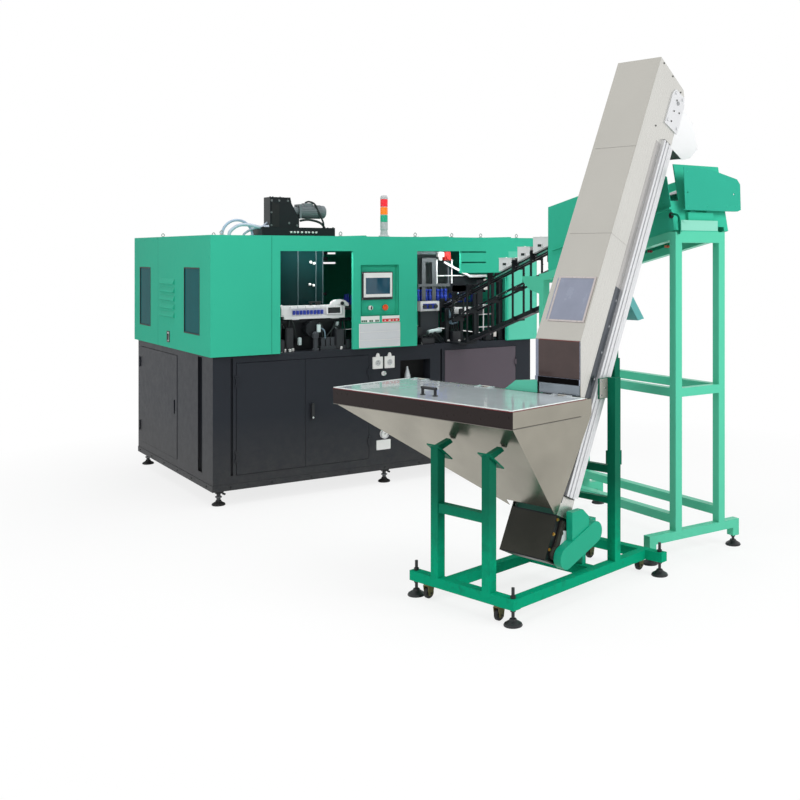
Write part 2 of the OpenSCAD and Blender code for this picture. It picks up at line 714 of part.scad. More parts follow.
module stadium(r) {
  translate([-chain_span / 2, -r]) square([chain_span, 2 * r]);
  for (x = [-chain_span / 2, chain_span / 2]) translate([x, 0]) circle(r = r, $fn = 96);
}

module oven() color([0.30, 0.32, 0.33]) at() {
  // bed with legs on the table
  for (x = [1650, 2360], y = [oven_cy - 60, oven_cy + 20])
    box([x, y, table_z], [x + 60, y + 40, oven_z - 40]);
  difference() {
    translate([oven_cx, oven_cy, oven_z - 40]) linear_extrude(height = 16) stadium(chain_r + 32);
    for (x = [-chain_span / 2, chain_span / 2])
      rod_z(oven_z - 41, oven_z - 23, oven_cx + x, oven_cy, 15 + run_gap);
  }
  // guide under the mandrel chain
  translate([oven_cx, oven_cy, oven_z - 24]) loop_path(chain_r - 6, 12, 24);
  // heater hood: back wall, roof and front reflector carrier over the rear run
  for (y = [oven_cy + 100, oven_cy + 290])
    box([1640, y, oven_z + 14], [2420, y + 6, 1750]);
  box([1640, oven_cy + 100, 1750], [2420, oven_cy + 296, 1756]);
  for (x = [1640, 2414]) box([x, oven_cy + 290, table_z], [x + 6, oven_cy + 296, oven_z + 14]);
  for (x = [1640, 2414]) difference() {
    box([x, oven_cy + 100, oven_z + 110], [x + 6, oven_cy + 296, 1750]);
    box([x - 1, oven_cy + 150, oven_z + 109], [x + 7, oven_cy + 230, 1560]);
  }
  // drive columns at the front corner of the oven
  for (x = [1834, 1930]) box([x, 300, table_z], [x + 34, 334, 1710]);
  box([1797, 296, 1478], [2099, 300, 1500]);
  box([1834, 300, 1676], [1964, 334, 1710]);
  // air duct on top
  translate([2030, oven_cy + 198, 1756]) cylinder(h = 60, r = 80, $fn = 64);
}

module oven_lamps() color([0.95, 0.92, 0.85]) at() {
  for (i = [0:6]) {
    rod_x(1652, 2408, oven_cy + 118, oven_z + 80 + i * 42, 6);
    rod_x(1652, 2408, oven_cy + 278, oven_z + 80 + i * 42, 6);
  }
  // end holders seated on the hood walls
  for (x = [1646, 2396]) {
    box([x, oven_cy + 106, oven_z + 60], [x + 18, oven_cy + 124, oven_z + 350]);
    box([x, oven_cy + 272, oven_z + 60], [x + 18, oven_cy + 290, oven_z + 350]);
  }
}

module sprocket() {
  // toothed disc with spokes cut between hub and rim
  linear_extrude(height = 8.7) difference() {
    circle(r = chain_r - 12, $fn = 96);
    for (a = [0:15:345]) rotate(a) translate([chain_r - 10, 0]) circle(r = 7, $fn = 24);
    for (a = [0:60:300]) rotate(a) translate([chain_r * 0.52, 0]) circle(r = 38, $fn = 48);
  }
}

module sprocket_drive() color([0.5, 0.52, 0.54]) at()
  translate([oven_cx - chain_span / 2, oven_cy, 0]) {
    rod_z(oven_z - 120, oven_z + 20, 0, 0, 15);
    translate([0, 0, oven_z]) sprocket();
    rod_z(oven_z - 22, oven_z, 0, 0, 34);
    rod_z(oven_z - 120, oven_z - 60, 0, 0, 42);
  }

module sprocket_idle() color([0.5, 0.52, 0.54]) at()
  translate([oven_cx + chain_span / 2, oven_cy, 0]) {
    rod_z(oven_z - 60, oven_z + 20, 0, 0, 15);
    translate([0, 0, oven_z]) sprocket();
    rod_z(oven_z - 22, oven_z, 0, 0, 34);
  }

module mandrel_chain() color([0.16, 0.30, 0.75]) at() translate([oven_cx, oven_cy, oven_z]) {
  loop_path(chain_r - 8, 16, 10);
  // blue mandrels standing on the links
  n_side = mandrels / 2 - 5;
  pitch = chain_span / n_side;
  for (i = [0:n_side], s = [-1, 1])
    translate([-chain_span / 2 + i * pitch, s * chain_r, 0]) mandrel();
  for (a = [36, 72, 108, 144]) {
    translate([chain_span / 2, 0, 0]) rotate(a - 90) translate([chain_r, 0, 0]) mandrel();
    translate([-chain_span / 2, 0, 0]) rotate(a + 90) translate([chain_r, 0, 0]) mandrel();
  }
}

module mandrel() {
  translate([0, 0, 9]) cylinder(h = 45, r = 13, $fn = 24);
  translate([0, 0, 54]) cylinder(h = 26, r = 9, $fn = 24);
}

// infeed rail

// Height of the rail's top at a given Y.
function rail_top(y) = rail_z1 + rail_fall * (rail_y1 - y);

module infeed_rails() color([0.13, 0.14, 0.15]) {
  // two neck rails
  fall() for (s = [-1, 1]) {
    box([s > 0 ? rail_slot / 2 : -rail_slot / 2 - 12, 0, -34],
      [s > 0 ? rail_slot / 2 + 12 : -rail_slot / 2, rail_len / cos(atan(rail_fall)), 0]);
    // lower guide bars
    box([s > 0 ? 45 : -53, 60, -176], [s > 0 ? 53 : -45, rail_len * 0.98, -162]);
  }
  // upright frames that join rails and guides; the outer ones stand on the truss beam
  at() for (f = [[-1300, 1], [-1016, 1], [-790, 1], [-470, 1], [-170, 1], [40, 0], [230, 0]])
    rail_frame(f[0], f[1]);
  // truss beam from the sorter stand down to the table, with its foot and end plate
  at() prism_yz([[stand_y1 + 50.3, rail_top(stand_y1 + 50.3) - 412],
    [stand_y1 + 50.3, rail_top(stand_y1 + 50.3) - 380], [-30, rail_top(-30) - 380],
    [-30, rail_top(-30) - 412]], rail_x - 25, rail_x + 25);
  at() box([rail_x - 80, -110, table_z], [rail_x + 80, 126, table_z + 12]);
  at() box([rail_x - 30, stand_y1 + 50.3, rail_top(stand_y1 + 50.3) - 412],
    [rail_x + 30, stand_y1 + 62, 1600]);
  // posts on the machine table and the arm fixed to the sorter stand
  at() for (x = [rail_x - 80, rail_x + 54])
    prism_yz([[100, table_z], [126, table_z], [126, 1296], [100, 1304]], x, x + 26);
  at() box([rail_x - 80, 100, 1212], [rail_x + 80, 126, 1232]);
  at() for (x = [rail_x - 80, rail_x + 60])
    prism_yz([[stand_y1 + 50.3, 1552], [stand_y1 + 68, 1552], [rail_y0 + 150, 1700],
      [rail_y0 + 150, 1760], [rail_y0 + 128, 1760], [stand_y1 + 50.3, 1598]], x, x + 20);
  at() box([rail_x - 80, rail_y0 + 128, 1690], [rail_x + 80, rail_y0 + 150, 1740]);
}

// Flat frame across the rail at a given Y; tall ones reach down to the truss beam.
module rail_frame(y, tall) {
  zr = rail_top(y + 6);
  low = tall ? zr - 414 : zr - 204;
  difference() {
    box([rail_x - 55, y, low], [rail_x + 55, y + 12, zr + 32]);
    box([rail_x - rail_slot / 2, y - 1, zr - 60], [rail_x + rail_slot / 2, y + 13, zr + 33]);
    box([rail_x - 43, y - 1, zr - 160], [rail_x + 43, y + 13, zr - 40]);
    if (tall) box([rail_x - 43, y - 1, zr - 380], [rail_x + 43, y + 13, zr - 196]);
  }
}

module rail_guards() color(white) at() {
  // white hoods with level tops that stand on the rail between the frames
  for (g = [[-775, -609, 1712], [-1001, -848, 1793], [-1216, -1039, 1862]]) {
    ya = g[0];
    yb = g[1];
    ym = (ya + yb) / 2;
    difference() {
      prism_yz([[ya, rail_top(ya)], [yb, rail_top(yb)], [yb, g[2]], [ya, g[2]]],
        rail_x - 52, rail_x + 52);
      prism_yz([[ya - 1, rail_top(ya - 1) - 1], [yb + 1, rail_top(yb + 1) - 1],
        [yb + 1, rail_top(yb + 1) + 48], [ya - 1, rail_top(ya - 1) + 48]],
        rail_x - 20, rail_x + 20);
    }
    for (s = [-1, 1])
      box([rail_x + (s > 0 ? 52 : -60), ym - 30, rail_top(ym) + 14],
        [rail_x + (s > 0 ? 60 : -52), ym + 30, rail_top(ym) + 44]);
  }
}

module valve_block() color(white) at() {
  // manifold with valves and regulator on the table
  box([840, 60, table_z], [1040, 130, table_z + 30]);
  for (i = [0:4]) box([848 + i * 38, 66, table_z + 30], [878 + i * 38, 124, table_z + 92]);
  translate([800, 60, table_z]) rotate_extrude($fn = 40)
    polygon([[0, 0], [26, 0], [26, 16], [18, 20], [18, 90], [24, 94], [24, 128], [10, 140],
      [0, 140]]);
  // rail mounted valve row under the infeed
  box([1764, 200, table_z], [1928, 240, 1285]);
  box([1760, 196, 1285], [1932, 244, 1363]);
  for (i = [0:2]) rod_y(180, 196, 1796 + i * 50, 1324, 16);
}

module roof_hose() color([0.70, 0.80, 0.90]) at() {
  // air hose from the roof gland to the drive bracket
  translate([416, 620, guard_top + 6]) rotate([90, 0, 0])
    rotate_extrude(angle = 180, $fn = 72) translate([118, 0]) circle(r = 10, $fn = 24);
  for (x = [298, 534]) rod_z(guard_top, guard_top + 14, x, 620, 18);
}

// preform lift

module lift_stand() color(frame_green) lift() {
  zb = beam_z;
  zt = beam_z + tube;
  // base tubes
  difference() {
    union() {
      box([0, -5, zb], [tube, 705, zt]);
      box([tube, 0, zb], [1095, tube, zt]);
      box([tube, 440, zb], [1095, 490, zt]);
      box([1095, -105, zb], [1145, 525, zt]);
      box([640, tube, zb], [690, 440, zt]);
    }
    for (p = [[25, 21], [25, 680], [1120, -75], [1120, 500]])
      rod_z(zb - 1, zt + 1, p[0], p[1], 8.2);
  }
  // front posts with sloping head flanges
  for (y = [150, 500]) {
    prism_xz([[0, zt], [tube, zt], [tube, 742], [0, 782]], y, y + tube);
    prism_xz([[-14, 790], [86, 710], [90, 715], [-10, 795]], y - 16, y + tube + 16);
    prism_xz([[30, 758], [118, 790], [100, 810], [0, 782]], y + 10, y + tube - 10);
  }
  box([5, 200, 455], [45, 500, 502]);
  // rear posts beside the casing and their cross bars
  box([post_x, 0, zt], [post_x + tube, tube, 1092]);
  box([post_x, 440, zt], [post_x + tube, 490, 1092]);
  box([post_x + 10, tube, 585], [post_x + 40, 440, 625]);
  box([post_x + 10, tube, 425], [post_x + 40, 440, 455]);
  // spacer blocks and bolted plates that carry the side rails
  box([post_x + 3, cas_y1 + rail_off, 1000], [post_x + 47, 440, 1080]);
  for (y = [[tube, cas_y - rail_off], [cas_y1 + rail_off, cas_y1 + rail_off + 10]])
    box([post_x - 70, y[0], 985], [post_x + 20, y[1], 1092]);
  // telescopic centre post under the casing
  difference() {
    box([1095, 206, zt], [1145, 256, 1160]);
    box([1101, 212, zt + 60], [1139, 250, 1161]);
  }
  prism_xz([[1101.5, 560], [1138.5, 560], [1138.5, under_z(1138.5) - 0.3],
    [1101.5, under_z(1101.5) - 0.3]], 212.5, 249.5);
  box([1088, 199, 560], [1152, 263, 640]);
}

module caster_forks() color(dark) lift()
  for (p = [[front_wheel_x, 110], [front_wheel_x, 590], [rear_wheel_x, 60], [rear_wheel_x, 400]])
    translate([p[0], p[1], 0]) {
      rod_z(beam_z - 8, beam_z, 0, 0, 26);
      for (s = [-1, 1]) translate([0, s * 17 + 2, 0])
        difference() {
          prism_xz([[-22, beam_z - 8], [22, beam_z - 8], [14, wheel_z - 10], [-14, wheel_z - 10]],
            -4, 0);
          rod_y(-5, 1, 0, wheel_z, 5 + run_gap);
        }
    }

module wheel_pair(x, ya, yb) {
  lift() for (y = [ya, yb]) translate([x, y, wheel_z]) rotate([90, 0, 0]) {
    translate([0, 0, -11]) rotate_extrude($fn = 64) polygon([[0, 0], [wheel_r - 3, 0],
      [wheel_r, 4], [wheel_r, 18], [wheel_r - 3, 22], [0, 22]]);
    translate([0, 0, -22]) cylinder(h = 44, r = 5, $fn = 32);
  }
}

module wheels_front() color([0.05, 0.05, 0.05]) wheel_pair(front_wheel_x, 110, 590);
module wheels_rear() color([0.05, 0.05, 0.05]) wheel_pair(rear_wheel_x, 60, 400);

// Four corners of the hopper at a given height, on its outer face.
module hopper_loft(inset, z_low, z_high) {
  hull() {
    box([30 + inset, 30 + inset, z_high - 0.01], [648 - inset, 30 + hop_w - inset, z_high]);
    box([406 + inset, cas_y + inset, z_low], [427 + inset * 0.2, cas_y1 - inset, z_low + 0.01]);
  }
}

module hopper_shell() color(steel) lift() {
  difference() {
    union() {
      hopper_loft(0, 440, 920);
      box([30, 30, 919.99], [648, 30 + hop_w, hop_z]);
    }
    hopper_loft(3, 438, 920.01);
    box([33, 33, 920], [645, 27 + hop_w, hop_z + 1]);
    // side towards the belt stays open
    box([380, cas_y + 2, 430], [700, cas_y1 - 2, hop_z + 1]);
  }
}

module hopper_rim() color([0.20, 0.13, 0.12]) lift() {
  // dark band along the front with a folded top edge
  prism_xz([[30, 918], [24, 918], [22, 990], [22, 1000], [30, 1000]], 26, 34 + hop_w);
}

module hopper_cover() color(steel) lift() {
  // fixed strip behind the lid and the rising plate towards the casing
  box([604, 36, hop_z], [kink_x, 28 + hop_w, hop_z + 4]);
  prism_yz([[cas_y1 + 2, hop_z + 4], [598, hop_z + 4], [517, hop_z + 59], [cas_y1 + 2, hop_z + 74]],
    kink_x - 6, kink_x);
  for (y = lid_hinges) rod_y(y + 0.5, y + 59.5, 597, hop_z + 8, 5);
  for (y = lid_hinges) box([597, y + 0.5, hop_z + 4], [610, y + 59.5, hop_z + 10]);
}

module lid() color([0.75, 0.88, 0.88, 0.5]) lift() {
  difference() {
    box([24, 28, hop_z], [590, 32 + hop_w, hop_z + 6]);
    for (y = lid_hinges) box([584, y - 2, hop_z - 1], [591, y + 62, hop_z + 7]);
  }
  for (h = lid_hinges, y = [[h - 30, h - 2], [h + 62, h + 90]]) {
    rod_y(y[0], y[1], 597, hop_z + 8, 5);
    prism_xz([[560, hop_z + 5], [597, hop_z + 5], [597, hop_z + 12.9], [560, hop_z + 9]],
      y[0], y[1]);
  }
}

module lid_handle() color(dark) lift() {
  // U handle with two feet
  for (y = [handle_y - 47, handle_y + 47]) rod_z(hop_z + 6, hop_z + 44, 145, y, 8);
  rod_y(handle_y - 55, handle_y + 55, 145, hop_z + 44, 8);
  for (y = [handle_y - 47, handle_y + 47]) rod_z(hop_z + 6, hop_z + 10, 145, y, 14);
}

// Side outline of the lift casing in slope coordinates: depth, then distance up the slope.
function cas_outer() = [
  [200, 575], [200, slope_s(hop_z, 200)],
  [vert_n(hop_z), vert_s(hop_z)], [0, vert_s(kink_z)], [0, cas_l], [back_n - 26, cas_l - 45],
  [back_n, cas_l - 77], [back_n, 575]];
// Height of the casing's underside above a point of the lift stand.
function under_z(x) = ((x - lean_x0) * cos(lean) - back_n) / sin(lean);
function slope_s(z, n) = (z + n * sin(lean)) / cos(lean);
function vert_n(z) = (kink_x - lean_x0) * cos(lean) - z * sin(lean);
function vert_s(z) = (kink_x - lean_x0) * sin(lean) + z * cos(lean);
function cas_inner() = [
  [202, 560], [202, slope_s(hop_z, 202) + 2],
  [vert_n(hop_z) + 3, vert_s(hop_z) - 12], [2.2, vert_s(kink_z) + 1], [2.2, cas_l - 3],
  [back_n - 27, cas_l - 47.5], [back_n - 2, cas_l - 78], [back_n - 2, 560]];

module casing() color(steel) slope() {
  difference() {
    prism_xz(cas_outer(), cas_y, cas_y1);
    prism_xz(cas_inner(), cas_y + 2, cas_y1 - 2);
    // discharge opening in the back and open front above the hopper
    box([back_n - 4, cas_y + 20, 2790], [back_n + 1, cas_y1 - 20, 3045]);
    box([198, cas_y + 2, 560], [204, cas_y1 - 2, slope_s(hop_z, 200) + 1]);
    box([40, cas_y + 2, vert_s(hop_z) - 60], [210, cas_y1 - 2, vert_s(hop_z) + 8]);
    // side bores for the upper drum shaft
    rod_y(cas_y - 1, cas_y1 + 1, belt_n, drum_s1, 12 + run_gap);
    // windows in the front sheet
    box([-1, cas_y + 34, 1552], [3, cas_y1 - 38, 1778]);
  }
}

module side_rails() color(alu) slope() {
  // slotted aluminium side profiles
  for (y = [cas_y - rail_off, cas_y1]) difference() {
    box([rail_n0, y, 680], [rail_n1, y + rail_off, 2760]);
    for (n = [rail_n0 + 16, rail_n1 - 26])
      box([n, (y < cas_y) ? y - 1 : y + rail_off - 8, 679],
        [n + 10, (y < cas_y) ? y + 8 : y + rail_off + 1, 2761]);
  }
  // bearing plates at the head of the lift
  for (y = [cas_y - 8, cas_y1]) difference() {
    prism_xz([[184, 2860], [324, 2860], [324, 3040], [302, 3095], [204, 3095], [184, 3060]],
      y, y + 8);
    rod_y(y - 1, y + 9, belt_n, drum_s1, 12 + run_gap);
  }
  for (y = [cas_y - 14, cas_y1 + 8], p = [[202, 2890], [306, 2890], [214, 3075], [289, 3075]])
    translate([p[0], y, p[1]]) rotate([-90, 0, 0]) cylinder(h = 6, r = 9, $fn = 6);
}

module boot() color([0.22, 0.22, 0.21]) slope() {
  // box round the lower drum, open to the hopper above
  difference() {
    prism_xz([[200, 345], [back_n, 345], [back_n, 575], [200, 575]], cas_y, cas_y1);
    prism_xz([[203, 348], [back_n - 3, 348], [back_n - 3, 576], [203, 576]],
      cas_y + 3, cas_y1 - 3);
    rod_y(cas_y - 1, cas_y1 + 1, belt_n, drum_s0, 15 + run_gap);
  }
  // bearing housings on both sides, with bolts on the near one
  for (y = [cas_y - 14, cas_y1]) difference() {
    union() {
      rod_y(y, y + 14, belt_n, drum_s0, 34);
      box([belt_n - 18, y, drum_s0], [belt_n + 18, y + 14, 560]);
    }
    rod_y(y - 1, y + 15, belt_n, drum_s0, 15 + run_gap);
  }
  for (s = [500, 540]) translate([belt_n, cas_y - 20, s]) rotate([-90, 0, 0])
    cylinder(h = 6, r = 9, $fn = 6);
}

module lift_windows() color([0.62, 0.62, 0.78, 0.6]) {
  // slanted window and tinted panel of the upright front
  slope() box([-3, cas_y + 22, 1548], [0, cas_y1 - 34, 1790]);
  lift() box([kink_x - 4, cas_y + 2, 1095], [kink_x, cas_y1 - 2, kink_z - 6]);
  lift() box([kink_x - 10, cas_y + 2, 1064], [kink_x, cas_y1 - 2, 1095]);
}

module belt() color([0.12, 0.35, 0.30]) slope() {
  r = drum_r + 0.4;
  span = drum_s1 - drum_s0;
  y0 = cas_y + 14;
  y1 = cas_y1 - 14;
  // flat band round both drums
  translate([belt_n, y1, drum_s0]) rotate([90, 0, 0]) linear_extrude(height = y1 - y0)
    difference() {
      belt_outline(r + belt_t, span);
      belt_outline(r, span);
    }
  // cleats on both runs
  for (i = [0:20]) {
    s = drum_s0 + 40 + i * (span - 80) / 20;
    box([belt_n - r - belt_t - 10, y0 + 6, s], [belt_n - r - belt_t + 1, y1 - 6, s + 5]);
    box([belt_n + r + belt_t - 1, y0 + 6, s], [belt_n + r + belt_t + 9, y1 - 6, s + 5]);
  }
}

module belt_outline(r, span) {
  translate([-r, 0]) square([2 * r, span]);
  for (s = [0, span]) translate([0, s]) circle(r = r, $fn = 72);
}

module drum(s, shaft_r, ya, yb) {
  rod_y(cas_y + 12, cas_y1 - 12, belt_n, s, drum_r);
  rod_y(ya, yb, belt_n, s, shaft_r);
}

module drum_top() color([0.6, 0.62, 0.64]) slope()
  drum(drum_s1, 12, cas_y - 12, cas_y1 + 12);

module drum_bottom() color([0.6, 0.62, 0.64]) slope()
  drum(drum_s0, 15, 30, cas_y1 + 18);

module gearmotor() color(frame_green) {
  // chain guard round the drum shaft and the motor shaft
  slope_pt = [lean_x0 + drum_s0 * sin(lean) + belt_n * cos(lean),
    drum_s0 * cos(lean) - belt_n * sin(lean)];
  low_pt = [slope_pt[0] + 30, slope_pt[1] - 19];
  top_pt = [slope_pt[0] + 261, slope_pt[1] + 64.5];
  lift() difference() {
    hull() {
      rod_y(14, 60, low_pt[0], low_pt[1], 56);
      rod_y(14, 60, top_pt[0], top_pt[1], 56);
    }
    hull() {
      rod_y(17, 61, low_pt[0], low_pt[1], 52);
      rod_y(17, 61, top_pt[0], top_pt[1], 52);
    }
  }
  // gear case, motor body and fan cowl behind the guard
  lift() {
    box([top_pt[0] - 50, 58, top_pt[1] - 56], [top_pt[0] + 60, 160, top_pt[1] + 58]);
    rod_y(20, 60, top_pt[0], top_pt[1], 12);
    translate([top_pt[0], 160, top_pt[1]]) rotate([-90, 0, 0])
      linear_extrude(height = 150) difference() {
        circle(r = 58, $fn = 64);
        for (a = [0:15:345]) rotate(a) translate([54, -3]) square([8, 6]);
      }
    rod_y(310, 350, top_pt[0], top_pt[1], 54);
    // foot plate down to the cross tube
    box([660, 100, beam_z + tube], [690, 150, top_pt[1] - 50]);
    // take-up cover above the guard
    prism_xz([[475, 270], [475, 446], [563, 446], [613, 402], [613, 330]], 20, 58);
  }
}

module spout() color([0.90, 0.90, 0.89]) slope() {
  // sheet chute from the back of the head down into the sorter
  difference() {
    prism_xz([[back_n, 2780], [back_n, 3060], [480, 3027], [595, 2921], [539, 2827], [470, 2775]],
      cas_y + 16, cas_y1 - 16);
    prism_xz([[back_n - 1, 2783], [back_n - 1, 3057], [479, 3024], [591, 2921],
      [536, 2830], [469, 2760], [440, 2740]], cas_y + 18, cas_y1 - 18);
  }
}

module overflow_chute() color([0.30, 0.60, 0.60]) lift() {
  // slanted tray hung from the underside of the casing
  difference() {
    prism_xz([[1059, under_z(1059)], [1083, under_z(1083)], [1229, 1382], [1172, 1374]],
      cas_y + 20, cas_y1 - 20);
    prism_xz([[1048, 1519], [1100, 1580], [1260, 1360], [1187.5, 1361]], cas_y + 23, cas_y1 - 23);
    // way through for the centre post
    box([1100, 211, 1340], [1140, 251, 1500]);
  }
}

// sorter

// Height of the underside of the trough's flanges at a given Y.
function seat(y) = 1905 - 24 * cos(trough_tilt)
  - (y - sort_y - 20 + 24 * sin(trough_tilt)) * tan(trough_tilt);

module sorter_stand() color(frame_green) at() {
  x0 = sort_x;
  x1 = sort_x + sort_w;
  y0 = sort_y;
  y1 = stand_y1;
  zb = 110;
  // feet beams with turned-down ends
  for (y = [y0, y1]) {
    box([x0 - 199, y, zb], [x1 + 121, y + tube, zb + tube]);
    for (x = [x0 - 199, x1 + 71]) box([x, y, 62], [x + tube, y + tube, zb]);
  }
  // legs
  for (x = [x0, x1 - tube]) {
    box([x, y0, zb + tube], [x + tube, y0 + tube, 1873]);
    box([x, y1, zb + tube], [x + tube, y1 + tube, 1612]);
  }
  // cross tubes at the ends
  box([x0 + tube, y0, 1810], [x1 - tube, y0 + tube, 1876]);
  for (y = [y0, y1]) box([x0 + tube, y, 925], [x1 - tube, y + tube, 975]);
  box([x0 + tube, y1, 1550], [x1 - tube, y1 + tube, 1600]);
  // side tubes
  for (x = [x0, x1 - tube]) {
    box([x, y0 + tube, 925], [x + tube, y1, 975]);
    box([x, y0 + tube, zb + tube + 40], [x + tube, y1, zb + 2 * tube + 40]);
    prism_yz([[y0 + 44, seat(y0 + 44) - 50], [y0 + 44, seat(y0 + 44) - 0.3],
      [y1 + 5, seat(y1 + 5) - 0.3], [y1 + 5, seat(y1 + 5) - 50]], x, x + tube);
    // gussets towards the rail
    prism_yz([[y1 + tube - 4, 1595], [y1 + 247, 1590], [y1 + 232, 1548], [y1 + 153, 1499],
      [y1 + tube - 4, 1475]], (x > x0) ? x1 - 6 : x0, (x > x0) ? x1 : x0 + 6);
  }
  // brackets under the far flange of the trough
  for (y = [y0 + 100, -1520])
    prism_yz([[y, seat(y) - 40], [y, seat(y) - 0.6], [y + 40, seat(y + 40) - 0.6],
      [y + 40, seat(y + 40) - 40]], x1 - 4, x1 + 40);
}

module trough() color(green) {
  w = 440;
  h = 372;
  // side plates
  end_y = trough_l - 72;
  back = [[trough_l, 0], [trough_l - (h + 25) * tan(trough_tilt), h + 25]];
  tilt() prism_yz(concat([[0, 0]], back, [[0, h]]), w - 4, w);
  // the left plate's near top corner is cut off
  tilt() prism_yz(concat([[0, 0]], back, [[120, h], [0, h - 80]]), 0, 4);
  // stay that ties the lift's casing to the left plate
  difference() {
    at() box([1600, -2390, 2118], [sort_x + 7, -2360, 2130]);
    slope() box([back_n - 300, cas_y - 50, 2000], [back_n, cas_y1 + 50, 3000]);
  }
  tilt() for (x = [-14, w]) box([x, 0, 100], [x + 14, end_y, 112]);
  tilt() for (x = [4, w - 34]) box([x, 0, -24], [x + 30, trough_l, 0]);
  tilt() for (x = [0, w - 30]) box([x, 0, -24], [x + 30, trough_l, 4]);
  // end plates with the roller bearings
  tilt() for (y = [0, end_y - 8]) difference() {
    box([(y < 10) ? 70 : 4, y, (y < 10) ? 150 : 0], [w - 4, y + 8, (y < 10) ? h : 300]);
    for (s = [-1, 1])
      rod_y(y - 1, y + 9, w / 2 + s * (roller_r + roller_gap / 2), 200, 12 + run_gap);
    if (y > 10) translate([w / 2 - 13, y - 1, 200]) cube([26, 10, 120]);
  }
  // sloping inner plates that lead preforms to the rollers
  tilt() for (s = [0, 1]) mirror([s, 0, 0]) translate([s ? -w : 0, 0, 0])
    prism_xz([[4, 330], [4, 326], [116, 236], [119, 239]], s ? 8 : 120, end_y - 8);
  tilt() box([4, 0, 0], [w - 4, 8, 150]);
  // drive box at the near end and its channel
  at() box([1903, sort_y + 12, 1941], [2107, sort_y + 45, 1987]);
  at() difference() {
    box([1832, sort_y + 2, 1876], [2134, sort_y + 42, 1941]);
    box([1836, sort_y + 1, 1882], [2130, sort_y + 38, 1935]);
  }
}

module roller(s) {
  tilt() {
    rod_y(10, trough_l - 82, 220 + s * (roller_r + roller_gap / 2), 200, roller_r);
    rod_y(-6, trough_l - 68, 220 + s * (roller_r + roller_gap / 2), 200, 12);
  }
}

module roller_left() color([0.75, 0.76, 0.78]) roller(-1);
module roller_right() color([0.75, 0.76, 0.78]) roller(1);

module flap_plate() color(green) at() {
  // chamfered cover that closes the near end of the trough
  difference() {
    prism_xz([[1838, 2242], [1852, 1998], [2282, 1998], [2310, 2008], [2304, 2160], [2277, 2190],
      [2049, 2240]], sort_y - 16, sort_y - 12);
    for (x = [1870, 2250]) rod_y(sort_y - 17, sort_y - 11, x, 2100, 5);
  }
  // folded lower flange and hinge knuckles
  box([1852, sort_y - 16, 1998], [2282, sort_y + 22, 2002]);
  for (x = [1920, 2050]) rod_x(x, x + 40, sort_y + 18, 1993, 6);
}

base_frame();
door_left();
door_right();
door_end();
door_side();
door_handle();
levelling_feet();
enclosure();
roof();
side_windows();
control_panel();
hmi();
hmi_screen();
selector_knob();
stop_button();
service_plates();
signal_tower();
lens_red();
lens_amber();
lens_green();
clamp_frame();
mould_front();
mould_rear();
stretch_frame();
stretch_carriage();
stretch_motor();
transfer_arm();
oven();
oven_lamps();
sprocket_drive();
sprocket_idle();
mandrel_chain();
infeed_rails();
rail_guards();
valve_block();
roof_hose();
lift_stand();
caster_forks();
wheels_front();
wheels_rear();
hopper_shell();
hopper_rim();
hopper_cover();
lid();
lid_handle();
casing();
side_rails();
boot();
lift_windows();
belt();
drum_top();
drum_bottom();
gearmotor();
spout();
sorter_stand();
trough();
roller_left();
roller_right();
flap_plate();
overflow_chute();
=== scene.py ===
import math
import random

import bmesh
import bpy
from mathutils import Matrix, Vector


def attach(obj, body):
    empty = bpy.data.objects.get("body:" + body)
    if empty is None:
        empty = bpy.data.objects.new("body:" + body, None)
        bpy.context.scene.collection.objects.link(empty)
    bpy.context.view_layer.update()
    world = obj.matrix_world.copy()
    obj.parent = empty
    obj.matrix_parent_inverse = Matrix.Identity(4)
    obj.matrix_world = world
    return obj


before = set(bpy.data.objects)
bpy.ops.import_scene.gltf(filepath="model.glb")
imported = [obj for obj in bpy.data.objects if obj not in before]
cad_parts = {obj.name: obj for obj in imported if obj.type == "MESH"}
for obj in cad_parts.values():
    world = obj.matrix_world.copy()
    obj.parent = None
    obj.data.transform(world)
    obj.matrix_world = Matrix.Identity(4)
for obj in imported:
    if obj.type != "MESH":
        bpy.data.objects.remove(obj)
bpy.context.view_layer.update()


# Charcoal base cabinet: folded and welded steel sheet on a plinth, with partitions inside.
# It is powder coated in a dark satin that is dustier near the floor and slightly mottled; the four
# doors hang on its frame and carry the same coat, and the door in the end bay is given a paler, purplish
# grey as painted light.
def srgb(*screen):
    # screen colour 0..255 to the linear colour that Blender's sockets take
    lin = [c / 12.92 if c <= 0.04045 else ((c + 0.055) / 1.055) ** 2.4
           for c in (value / 255 for value in screen)]
    return (*lin, 1.0)


def new_skin(name, ins):
    # a surface effect with named inputs; all of them put out a colour, a roughness and a relief
    group = bpy.data.node_groups.new(name, "ShaderNodeTree")
    for label, kind, value in ins:
        sock = group.interface.new_socket(name=label, in_out="INPUT", socket_type="NodeSocket" + kind)
        sock.default_value = value
    for label, kind in (("Colour", "Color"), ("Roughness", "Float"), ("Height", "Float")):
        group.interface.new_socket(name=label, in_out="OUTPUT", socket_type="NodeSocket" + kind)
    gin = group.nodes.new("NodeGroupInput")
    gout = group.nodes.new("NodeGroupOutput")
    place = group.nodes.new("ShaderNodeTexCoord").outputs["Object"]
    return group, gin.outputs, gout.inputs, place


def feed(tree, value, sock):
    # a number is set on the socket, another node's output is linked to it
    if isinstance(value, (int, float)):
        sock.default_value = value
    else:
        tree.links.new(value, sock)


def math_node(tree, op, a, b, clamp=False):
    n = tree.nodes.new("ShaderNodeMath")
    n.operation = op
    n.use_clamp = clamp
    feed(tree, a, n.inputs[0])
    feed(tree, b, n.inputs[1])
    return n.outputs[0]


